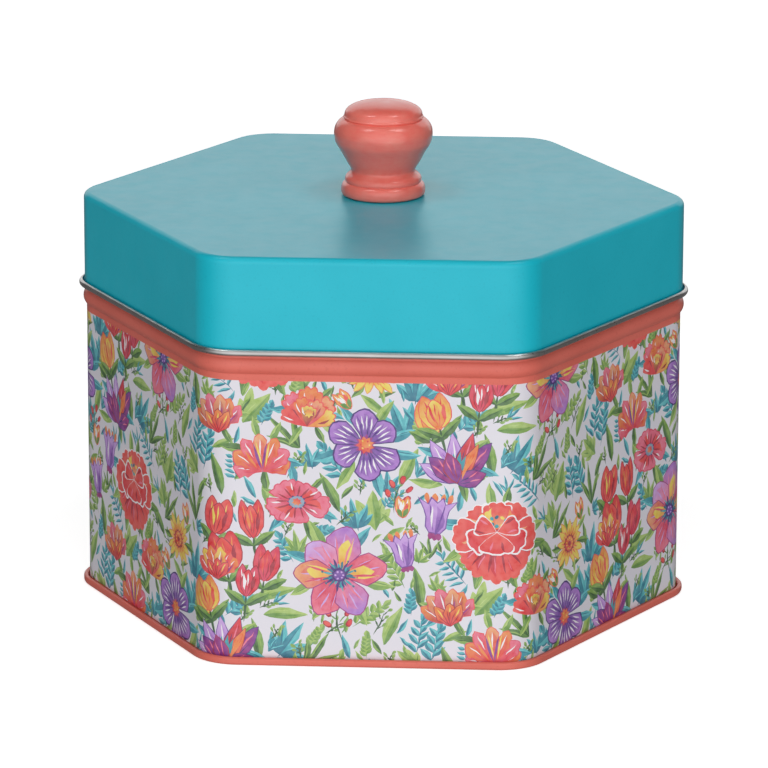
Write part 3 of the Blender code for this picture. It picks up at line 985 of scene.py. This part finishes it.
def lobed_leaf(brush, length, inks, lean=0.1):
    """Broad ragged leaf, like a chrysanthemum's."""
    near, far, dark = inks
    for turn, share, wide in ((52, 0.52, 0.22), (-50, 0.56, 0.22), (27, 0.78, 0.26), (-25, 0.74, 0.26)):
        one = brush.moved(0, length * 0.12, turn=turn)
        reach = length * share
        one.paint(petal(reach, length * wide, 0.9, 0.6, steps=6), near, far, (0, 0), (0, reach))
        one.paint(streak((0, 1), (0.2, reach * 0.8), 0.42), dark)
    leaf(brush, length, length * 0.36, inks, lean)


def spray(brush, length, pairs, inks, width=1.9, reach=0.36, spread=42.0, lean=0.1):
    """Curved stem with leaves in pairs or by turns, smaller towards the tip."""
    stem(brush, length, 0.7, inks[2], lean)
    for index in range(2 * pairs):
        along = 0.12 + 0.76 * index / (2 * pairs)
        side = 1 if index % 2 else -1
        turn = -side * (spread - 14 * along)
        one = brush.moved(lean * length * along ** 1.3, length * along, turn)
        leaf(one, length * reach * (1.08 - 0.5 * along), width, inks, side * 0.14, side)
    top = brush.moved(lean * length, length * 0.86)
    leaf(top, length * 0.26, width, inks)


def crown(brush, size, inks=TEALS):
    """Cluster of pointed leaves, like a small open bud on a stem."""
    stem(brush, size * 0.5, 0.8, inks[2])
    for lean, share in ((-58, 0.62), (56, 0.66), (-30, 0.88), (31, 0.85), (-3, 1.0)):
        one = brush.moved(0, size * 0.1, turn=-lean)
        leaf(one, size * share, size * 0.25, inks, side=1 if lean > 0 else -1)


def blades(brush, height, inks=GREENS):
    """Tuft of long blades."""
    for lean, share in ((-24, 0.8), (20, 0.92), (-5, 1.05)):
        one = brush.moved(turn=-lean)
        leaf(one, height * share, height * 0.15, inks, lean * 0.006)


def twig(brush, length, inks=GREENS):
    """Thin branching twig."""
    stem(brush, length, 0.6, inks[2], 0.12)
    for index in range(5):
        along = 0.22 + 0.15 * index
        one = brush.moved(0.12 * length * along, length * along, turn=(-34, 36)[index % 2])
        one.paint(streak((0, 0), (0, length * 0.3), 0.5), inks[2])
        one.moved(0, length * 0.24).paint(petal(2.2, 1.0, 0.9), inks[0], inks[1], (0, 0), (0, 2))


# What stands where, in one repeat of the print: (painter, x from the front's middle,
# height, turn, size)
BLOOMS = (
    (parrot_tulip, (-49, 79.5), 8, 0.86),
    (parrot_rose, (-19, 88), -6, 0.92),
    (open_tulip, (-34.5, 66.5), 4, 0.92),
    (cosmos, (-0.5, 76.5), 0, 1.0),
    (lotus, (30, 63.8), -8, 1.0),
    (poppy, (-23, 56.5), 12, 0.98),
    (anemone, (-9, 31.5), 0, 1.0),
    (peony, (43, 44.5), 0, 0.95),
    (sunflower, (79, 36.5), 0, 1.0),
)


def painted_tulips(shapes):
    """The garden's tulips and buds, each with its own inks."""
    rows = (
        ((21.5, 80.5), 12.5, 10.5, YELLOW, ORANGE, CORAL, RED, 6),
        ((-50.5, 44.5), 13.5, 11.0, RED, CORAL, CRIMSON, YELLOW, -8),
        ((-37.5, 44.0), 13.5, 8.0, CORAL, RED, CRIMSON, ORANGE, 5),
        ((-46, 31.5), 15.0, 12.5, CORAL, RED, CRIMSON, ORANGE, 10),
        ((-34, 29.0), 13.0, 8.5, RED, HOT_PINK, CRIMSON, CORAL, -8),
        ((-53, 17.5), 12.5, 11.0, YELLOW, ORANGE, CORAL, RED, 14),
        ((37, 88.5), 11.5, 7.5, RED, HOT_PINK, CRIMSON, BARE, -5),
    )
    for place, height, width, near, far, rim, light, turn in rows:
        brush = Brush(shapes, place, turn)
        stem(brush.moved(0, -9), 10, 1.1, DARK_GREEN)
        for side in (-1, 1):
            leaf(brush.moved(0, -3, turn=-side * 52), 9, 3.4, GREENS, side * 0.1, side)
        tulip(brush, height, width, near, far, rim, light)
    parrot_tulip(Brush(shapes, (27, 94), 3, 0.8), 14, (CORAL, ORANGE, YELLOW), RED)
    for place, turn in (((86, 43.5), 14), ((71.5, 24), 40), ((12, 52), 0)):
        bud(Brush(shapes, place, turn))


# ---------------------------------------------------------------------------
# Planting
# ---------------------------------------------------------------------------

REPEAT_STEPS = ((REPEAT_WIDTH, 0.0), (REPEAT_WIDTH / 2, -REPEAT_HEIGHT))

# Room that the blooms take, as discs of (x, height, radius)
BLOOM_ROOM = (
    (-49, 86, 6.5), (-19, 87, 7.5), (-34.5, 73, 8.5), (-0.5, 76.5, 11), (30, 72, 8.5),
    (-23, 56.5, 8.5), (-9, 32, 14), (43, 46, 13.5), (79, 36.5, 7.5), (21.5, 86.5, 5.5),
    (-50.5, 51, 6), (-37.5, 50, 4.5), (-45.5, 39.5, 7), (-34.5, 35.5, 5), (-53, 24, 5.5),
    (37, 94, 4.5), (27, 99, 6.5), (86, 47, 3), (69.5, 27, 3), (22.5, 52.5, 6), (13, 42, 5),
    (12, 55, 3),
)

# A plant takes up three discs along its length. Its half width and the free distance
# round it are shares of its half length and of its half width; its sway is in degrees.
PLANT_HALF_WIDTH = 0.36
PLANT_CLEARANCE = 0.75
PLANT_SWAY = 32


def clearance(places, discs):
    """Free distance from some places to the nearest disc of any repeat."""
    shifts = [(a * REPEAT_STEPS[0][0] + b * REPEAT_STEPS[1][0], b * REPEAT_STEPS[1][1])
              for a in (-1, 0, 1) for b in (-1, 0, 1)]
    places = np.array(places)[:, None, None]
    away = places - np.array(discs)[:, None, :2] - np.array(shifts)
    return float((np.hypot(away[..., 0], away[..., 1]) - np.array(discs)[:, 2][:, None]).min())


def plant_greenery(shapes, chooser):
    """Fill the gaps between the blooms: large sprays first, then smaller leaves."""
    large = (
        lambda b, r: spray(b, 2.1 * r, 4, TEALS, 1.9, 0.36),
        lambda b, r: spray(b, 2.1 * r, 5, OLIVES, 1.9, 0.30),
        lambda b, r: lobed_leaf(b, 2.0 * r, OLIVES),
        lambda b, r: crown(b, 2.0 * r),
        lambda b, r: spray(b, 2.1 * r, 4, TEALS, 2.3, 0.38),
        lambda b, r: spray(b, 2.1 * r, 5, TEALS, 1.3, 0.34, 56),
        lambda b, r: leaf(b, 2.1 * r, 0.62 * r, OLIVES, 0.16),
        lambda b, r: leaf(b, 2.1 * r, 0.56 * r, GREENS, -0.16, -1),
        lambda b, r: blades(b, 2.1 * r),
    )
    small = (
        lambda b, r: leaf(b, 2.1 * r, 0.62 * r, GREENS, 0.14),
        lambda b, r: leaf(b, 2.1 * r, 0.55 * r, TEALS, -0.12, -1),
        lambda b, r: leaf(b, 2.1 * r, 0.60 * r, OLIVES, 0.1, -1),
        lambda b, r: twig(b, 2.2 * r),
        lambda b, r: crown(b, 2.0 * r),
        lambda b, r: crown(b, 2.0 * r, OLIVES),
        lambda b, r: blades(b, 2.1 * r, TEALS),
    )
    rounds = ((7.0, 500, large), (5.4, 900, large), (4.2, 1400, large + small),
              (3.0, 2200, small), (2.1, 2600, small[:4]))
    discs = list(BLOOM_ROOM)
    for radius, tries, painters in rounds:
        half = radius * PLANT_HALF_WIDTH
        for _ in range(tries):
            place = (chooser.uniform(0, REPEAT_WIDTH), chooser.uniform(0, REPEAT_HEIGHT))
            turn = chooser.gauss(0, PLANT_SWAY)
            across, up = -math.sin(math.radians(turn)), math.cos(math.radians(turn))
            line = [(place[0] + across * radius * t, place[1] + up * radius * t) for t in (-0.75, 0, 0.75)]
            if clearance(line, discs) < half * PLANT_CLEARANCE:
                continue
            discs += [(x, y, half) for x, y in line]
            brush = Brush(shapes, place, turn).moved(0, -radius)
            chooser.choice(painters)(brush, radius)


def collar_of_leaves(shapes, chooser):
    """Leaves that look out from behind each large bloom."""
    for x, height, radius in BLOOM_ROOM[:len(BLOOMS)]:
        count = 8 if radius > 10 else 6
        for index in range(count):
            turn = 360 * (index + chooser.uniform(-0.25, 0.25)) / count + 20
            brush = Brush(shapes, (x, height), turn).moved(0, radius * 0.62)
            size = chooser.uniform(0.8, 1.1) * min(radius, 11) * 1.05
            lean = chooser.uniform(-0.2, 0.2)
            leaf(brush, size, size * 0.32, chooser.choice((GREENS, OLIVES, TEALS)), lean)


def paint_garden():
    """All shapes of one repeat, from the back of the picture to the front."""
    noise.seed_set(GARDEN_SEED)
    chooser = random.Random(GARDEN_SEED)
    shapes = []
    plant_greenery(shapes, chooser)
    collar_of_leaves(shapes, chooser)
    berries(Brush(shapes, (9, 53), -10))
    berries(Brush(shapes, (69, 73), 12, 1.1))
    painted_tulips(shapes)
    for place, turn, size in (((22.5, 46), -5, 1.0), ((13.5, 34.5), 12, 0.9)):
        bell(Brush(shapes, place, turn, size))
    for painter, place, turn, size in BLOOMS:
        painter(Brush(shapes, place, turn, size))
    return shapes


def spread_over_wall(shapes, low, high):
    """Repeat the garden round the wall with a half drop, trimmed to the print's edges."""
    edges = ((SEAM_MARGIN, GIRTH - SEAM_MARGIN), (low, high))
    spread = []
    for down in range(-1, 3):
        for across in range(-2, 6):
            shift = across * np.array(REPEAT_STEPS[0]) + down * np.array(REPEAT_STEPS[1])
            shift = shift + np.array((GIRTH / 2, 0.0))
            for rank, (points, near, far, ends) in enumerate(shapes):
                moved = points + shift
                lowest, highest = moved.min(0), moved.max(0)
                if highest[0] <= edges[0][0] or lowest[0] >= edges[0][1]:
                    continue
                if highest[1] <= edges[1][0] or lowest[1] >= edges[1][1]:
                    continue
                moved[:, 0] = np.clip(moved[:, 0], *edges[0])
                moved[:, 1] = np.clip(moved[:, 1], *edges[1])
                spread.append((rank, moved, near, far, ends + shift))
    spread.sort(key=lambda entry: entry[0])
    return [entry[1:] for entry in spread]


# ---------------------------------------------------------------------------
# Wall
# ---------------------------------------------------------------------------

def wall_bends():
    """Body hook, stop bead and mouth curl, from the seam up."""
    fillet_across = WALL_LINE + BEAD_FILLET
    reach = BEAD_RADIUS + BEAD_FILLET
    swing = math.degrees(math.acos((reach - BEAD_DEPTH) / reach))
    rise = reach * math.sin(math.radians(swing))
    curl_height = WALL_HIGH.z - SHEET / 2 - MOUTH_CURL_RADIUS
    turn = (BODY_HOOK_LINE + WALL_LINE) / 2
    return [
        Bend(BODY_HOOK_LINE - HOOK_RADIUS, BODY_HOOK_TIP, HOOK_RADIUS, 0, 0, 0, -1),
        Bend(turn, BODY_TURN_HEIGHT, HOOK_RADIUS, 0, -180, 8, -1),
        Bend(fillet_across, BEAD_MIDDLE - rise, BEAD_FILLET, 180, 180 - swing, 5, -1),
        Bend(WALL_LINE + BEAD_DEPTH - BEAD_RADIUS, BEAD_MIDDLE, BEAD_RADIUS, -swing, swing, 10, 1),
        Bend(fillet_across, BEAD_MIDDLE + rise, BEAD_FILLET, 180 + swing, 180, 5, -1),
        Bend(WALL_LINE - MOUTH_CURL_RADIUS, curl_height, MOUTH_CURL_RADIUS, 0, 270, 14, 1),
    ]


def seam_columns():
    inner, outer = SEAM_HALF_WIDTH - 0.1, SEAM_HALF_WIDTH + 0.1
    near = [0.0, SEAM_GROOVE_HALF_WIDTH, inner, outer]
    return near + [GIRTH - column for column in near[1:]]


def cut_sheet(rows, columns, shapes):
    """Triangles of the unrolled wall that follow every row, column and painted edge."""
    points, edges = [], []

    def add_run(run, closed):
        start = len(points)
        points.extend(Vector((float(x), float(y))) for x, y in run)
        count = len(run)
        edges.extend((start + i, start + (i + 1) % count) for i in range(count if closed else count - 1))

    for row in rows:
        add_run([(0.0, row), (GIRTH, row)], False)
    for column in columns + [GIRTH]:
        add_run([(column, rows[0]), (column, rows[-1])], False)
    for shape in shapes:
        add_run(shape[0], True)
    found = delaunay_2d_cdt(points, edges, [], 0, WELD, False)
    return np.array([tuple(v) for v in found[0]]), np.array(found[2])


def topmost_shape(centres, shapes):
    """Index of the uppermost shape over each centre, or -1 on the bare ground."""
    order = np.argsort(centres[:, 0])
    x, y = centres[order, 0], centres[order, 1]
    owner = np.full(len(centres), -1)
    for index, (points, _, _, _) in enumerate(shapes):
        first, last = np.searchsorted(x, (points[:, 0].min(), points[:, 0].max()))
        inside_y = y[first:last]
        near = np.nonzero((inside_y > points[:, 1].min()) & (inside_y < points[:, 1].max()))[0] + first
        if not len(near):
            continue
        px, py = x[near][:, None], y[near][:, None]
        ax, ay = points[:, 0], points[:, 1]
        bx, by = np.roll(ax, -1), np.roll(ay, -1)
        spans = (ay > py) != (by > py)
        slope = np.where(by == ay, 1.0, by - ay)
        crosses = spans & (px < (bx - ax) * (py - ay) / slope + ax)
        owner[order[near[crosses.sum(1) % 2 == 1]]] = index
    return owner


def groove_depth(columns, heights):
    """How far the back seam's groove is pressed in."""
    away = np.minimum(columns, GIRTH - columns)
    pressed = np.clip(1 - away / SEAM_GROOVE_HALF_WIDTH, 0, 1)
    return SEAM_GROOVE_DEPTH * pressed * ((heights > PRINT_BOTTOM) & (heights < SEAM_TOP))


def fold_depth(columns, height):
    """How far the side seam's fold stands out from the wall's inside."""
    away = np.minimum(columns, GIRTH - columns)
    return SEAM_DEPTH * ((away < SEAM_HALF_WIDTH) & (SEAM_BOTTOM <= height <= SEAM_TOP))


def wall_section_inside():
    """Inside rows, with a close pair at each end of the seam's fold."""
    rows = section(wall_bends(), -1)
    face = WALL_LINE - SHEET / 2
    added = [(face, height, -1.0, 0.0) for height in
             (SEAM_BOTTOM - 0.2, SEAM_BOTTOM, SEAM_TOP, SEAM_TOP + 0.2)]
    split = next(i for i, row in enumerate(rows) if row[1] > SEAM_TOP + 0.2 and row[0] <= face + 1e-6)
    return rows[:split] + added + rows[split:]


def close_round(flat, triangles):
    """Join the unrolled wall's right edge to its left edge.

    Gives which points stay, the triangles in numbers of those points, and the corners
    that the triangles had on the unrolled wall. All turn anticlockwise.
    """
    keep = flat[:, 0] < GIRTH - WELD
    left = {round(y, 3): i for i, (x, y) in enumerate(flat) if x < WELD}
    target = np.arange(len(flat))
    for index in np.nonzero(~keep)[0]:
        target[index] = left[round(flat[index, 1], 3)]
    corners = flat[triangles]
    triangles = (np.cumsum(keep) - 1)[target[triangles]]
    turn = np.cross(corners[:, 1] - corners[:, 0], corners[:, 2] - corners[:, 0])
    solid = np.abs(turn) > 1e-9
    triangles, corners, turn = triangles[solid], corners[solid], turn[solid]
    triangles[turn < 0] = triangles[turn < 0][:, ::-1]
    corners[turn < 0] = corners[turn < 0][:, ::-1]
    return keep, triangles, corners


def add_wall_inside(surface, columns, flat, top):
    """Rings on the outside's columns, joined to it at the hook and at the curl."""
    columns = np.array(columns)
    rings = []
    for row in wall_section_inside():
        shifted = (row[0] - fold_depth(columns, row[1]), *row[1:])
        rings.append(add_ring(surface, columns, shifted))
    for first, second in zip(rings, rings[1:]):
        surface.strip(first, second, 2, flip=True)
    for edge, ring, flip in ((0.0, rings[0], False), (top, rings[-1], True)):
        on_edge = np.nonzero(np.abs(flat[:, 1] - edge) < WELD)[0]
        surface.strip(ring, on_edge[np.argsort(flat[on_edge, 0])], 2, flip=flip)


def make_body_wall(printed, coral, bare):
    """One sheet: printed and lacquered outside, cut along every painted edge; bare inside."""
    rows = section(wall_bends(), 1)
    steps = [math.hypot(b[0] - a[0], b[1] - a[1]) for a, b in zip(rows, rows[1:])]
    lengths = np.concatenate(((0.0,), np.cumsum(steps)))
    face_row = next(i for i, row in enumerate(rows) if abs(row[0] - WALL_FACE) < 1e-6 and row[2] > 0.99)
    face_start = lengths[face_row] - rows[face_row][1]
    low, high = PRINT_BOTTOM + face_start, PRINT_TOP + face_start
    shapes = [(points + (0, face_start), near, far, ends + (0, face_start)) for points, near, far, ends
              in spread_over_wall(paint_garden(), PRINT_BOTTOM, PRINT_TOP)]
    columns = sorted(corner_columns() + seam_columns())
    flat, triangles = cut_sheet(sorted([*lengths, low, high]), columns, shapes)
    keep, triangles, corners = close_round(flat, triangles)
    flat = flat[keep]

    profile = np.array(rows)
    across, height, out, rise = (np.interp(flat[:, 1], lengths, profile[:, i]) for i in range(4))
    place, outward = outline(flat[:, 0], across - groove_depth(flat[:, 0], height))
    surface = Surface()
    normals = np.column_stack((outward * out[:, None], rise))
    surface.add_points(np.column_stack((place, height)), normals)
    surface.add_faces(triangles, 0)
    centres = corners.mean(1)
    printed_part = (centres[:, 1] > low) & (centres[:, 1] < high)
    surface.slots = list(np.where(printed_part, 0, 1))
    add_wall_inside(surface, columns, flat, lengths[-1])

    owner = np.where(printed_part, topmost_shape(centres, shapes), -1)
    wall = surface.build("body_wall_fine", (printed, coral, bare))
    write_ink(wall.data, corners, owner, shapes)
    return wall


def write_ink(mesh, corners, owner, shapes):
    """Ink at each corner of each printed triangle; alpha says where there is pigment."""
    colors = np.ones((len(mesh.loops), 4), np.float32)
    colors[:, :3] = WHITE_GROUND
    colors[:, 3] = 0.0
    painted = np.nonzero(owner >= 0)[0]
    near = np.array([shape[1] for shape in shapes])[owner[painted]][:, None, :]
    far = np.array([shape[2] for shape in shapes])[owner[painted]][:, None, :]
    ends = np.array([shape[3] for shape in shapes])[owner[painted]]
    run = ends[:, 1] - ends[:, 0]
    along = ((corners[painted] - ends[:, None, 0]) * run[:, None]).sum(2) / (run ** 2).sum(1)[:, None]
    share = np.clip(along, 0, 1)[:, :, None]
    loops = painted[:, None] * 3 + np.arange(3)
    mixed = near + (far - near) * share
    colors[loops, :3] = mixed + INK_SOFTNESS * (mixed.mean(2, keepdims=True) - mixed)
    colors[loops, 3] = 1.0
    layer = mesh.color_attributes.new("ink", "FLOAT_COLOR", "CORNER")
    layer.data.foreach_set("color", colors.ravel())


# ---------------------------------------------------------------------------
# Stage
# ---------------------------------------------------------------------------

# Camera: angles in degrees, places in millimetres, lens in millimetres on a 36 mm sensor
CAMERA_TURN = 3.29
CAMERA_RISE = 15.59
CAMERA_ROLL = 0.16
CAMERA_DISTANCE = 1936.0
CAMERA_TARGET = (0.45, 0.0, 72.2)
CAMERA_LENS = 263.7
CAMERA_SENSOR = 36.0

# Floor, in metres
FLOOR_SIZE = 30.0
FLOOR_GLOW = 0.66

# World: brightness falls from the horizon to high overhead and rises towards the glow's
# direction. Each has the ends of its range and the brightness at those ends.
SKY_ENDS, SKY_LEVELS = (0.0, 0.90), (0.13, 0.01)
GLOW_DIRECTION = (0.06, -1.0, 0.07)
GLOW_ENDS, GLOW_LEVELS = (0.2, 1.0), (0.0, 1.06)

# Soft lights, in metres: name, place, width, height, radiance, whether it lights matt
# surfaces and whether it shows in reflections. All of them face the tin's middle.
PANEL_TARGET = (0.0, 0.0, 0.09)
PANELS = (
    ("front_panel", (0.20, -2.7, 0.55), 2.6, 1.8, 1.35, True, False),
    ("back_panel", (0.0, 1.7, 0.75), 3.0, 1.4, 0.95, False, True),
    ("overhead_strip", (0.0, -0.16, 1.0), 1.5, 0.10, 1.3, True, True),
    ("rear_fill", (0.3, 2.7, 0.5), 2.6, 1.8, 1.3, True, False),
    ("softbox_left", (-0.34, -0.14, 0.98), 0.19, 0.26, 5.8, True, True),
    ("softbox_right", (0.35, -0.12, 0.97), 0.19, 0.26, 5.8, True, True),
)


def make_camera():
    turn, rise = math.radians(CAMERA_TURN), math.radians(CAMERA_RISE)
    roll = math.radians(CAMERA_ROLL)
    back = Vector((math.sin(turn) * math.cos(rise), -math.cos(turn) * math.cos(rise), math.sin(rise)))
    level = Vector((math.cos(turn), math.sin(turn), 0.0))
    upright = back.cross(level)
    right = math.cos(roll) * level + math.sin(roll) * upright
    up = math.cos(roll) * upright - math.sin(roll) * level
    camera = link("camera", bpy.data.cameras.new("camera"))
    camera.data.lens = CAMERA_LENS
    camera.data.sensor_width = CAMERA_SENSOR
    camera.data.clip_start = 0.05
    camera.data.clip_end = 100.0
    place = (Vector(CAMERA_TARGET) + back * CAMERA_DISTANCE) * MM
    camera.matrix_world = Matrix.Translation(place) @ Matrix((right, up, back)).transposed().to_4x4()
    bpy.context.scene.camera = camera


def make_panel(name, place, width, height, radiance, diffuse, glossy):
    """Rectangular soft light of a given brightness, unseen by the camera."""
    lamp = bpy.data.lights.new(name, "AREA")
    lamp.shape = "RECTANGLE"
    lamp.size, lamp.size_y = width, height
    lamp.energy = radiance * math.pi * width * height
    panel = link(name, lamp)
    panel.location = place
    aim = Vector(PANEL_TARGET) - Vector(place)
    panel.rotation_euler = aim.to_track_quat("-Z", "Y").to_euler()
    panel.visible_camera = False
    panel.visible_diffuse = diffuse
    panel.visible_glossy = glossy


def make_surroundings():
    """Studio world: dim at the horizon, dark overhead, and a broad glow from the front."""
    world = bpy.data.worlds.new("studio")
    world.use_nodes = True
    graph = Graph(world.node_tree)
    direction = graph.add("ShaderNodeTexCoord").outputs["Generated"]
    height = graph.add("ShaderNodeSeparateXYZ", {0: direction}).outputs["Z"]
    sky = graph.spread(height, *SKY_LEVELS, ends=SKY_ENDS)
    aim = {0: direction, 1: Vector(GLOW_DIRECTION).normalized()}
    facing = graph.add("ShaderNodeVectorMath", aim, operation="DOT_PRODUCT").outputs["Value"]
    glow = graph.spread(facing, *GLOW_LEVELS, ends=GLOW_ENDS, interpolation_type="SMOOTHSTEP")
    level = graph.add("ShaderNodeMath", {0: sky, 1: glow}, operation="ADD").outputs[0]
    background = graph.tree.nodes["Background"].inputs
    background["Color"].default_value = (1.0, 1.0, 1.0, 1.0)
    graph.plug(level, background["Strength"])
    bpy.context.scene.world = world


def make_floor():
    """Bright floor that takes shadows, but lights and mirrors nothing."""
    half = FLOOR_SIZE / 2
    mesh = bpy.data.meshes.new("floor")
    corners = ((-half, -half, 0), (half, -half, 0), (half, half, 0), (-half, half, 0))
    mesh.from_pydata(corners, [], [(0, 1, 2, 3)])
    finish = Finish("pale_floor", Roughness=0.8, Emission_Strength=FLOOR_GLOW)
    finish.shader.inputs["Emission Color"].default_value = (1.0, 1.0, 1.0, 1.0)
    finish.color(finish.mix(finish.grain(60), (0.90, 0.90, 0.90), (0.92, 0.92, 0.92)))
    mesh.materials.append(finish.material)
    floor = link("floor", mesh)
    floor.visible_diffuse = False
    floor.visible_glossy = False


def make_stage():
    bpy.context.scene.view_settings.view_transform = "Standard"
    make_surroundings()
    for panel in PANELS:
        make_panel(*panel)
    make_floor()


# ---------------------------------------------------------------------------
# The tin
# ---------------------------------------------------------------------------

def place_piece(piece, body, node):
    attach(piece, body)
    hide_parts(node)


def main():
    coral = coral_lacquer()
    bare = bare_tinplate()
    make_camera()
    make_stage()
    place_piece(make_body_wall(printed_tinplate(), coral, bare), "tin", "body_wall")
    place_piece(make_base_panel(coral, bare), "tin", "base_panel")
    place_piece(make_lid_shell(teal_lacquer(), bare), "lid", "lid_shell")
    foot = Vector((0.0, 0.0, KNOB_LOW.z)) * MM
    knob = turned("knob_fine", knob_profile(), KNOB_STEPS, foot, coral_gloss_paint(),
                  DOME_BASE + DOME_RISE, KNOB_BORE_DEPTH, lump=KNOB_LUMPS)
    place_piece(knob, "lid", "knob")
    metal = zinc_plate()
    for node, material in (("knob_insert", brass()), ("knob_washer", metal), ("knob_screw", metal)):
        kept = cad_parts[node]
        kept.data.materials.clear()
        kept.data.materials.append(material)


main()
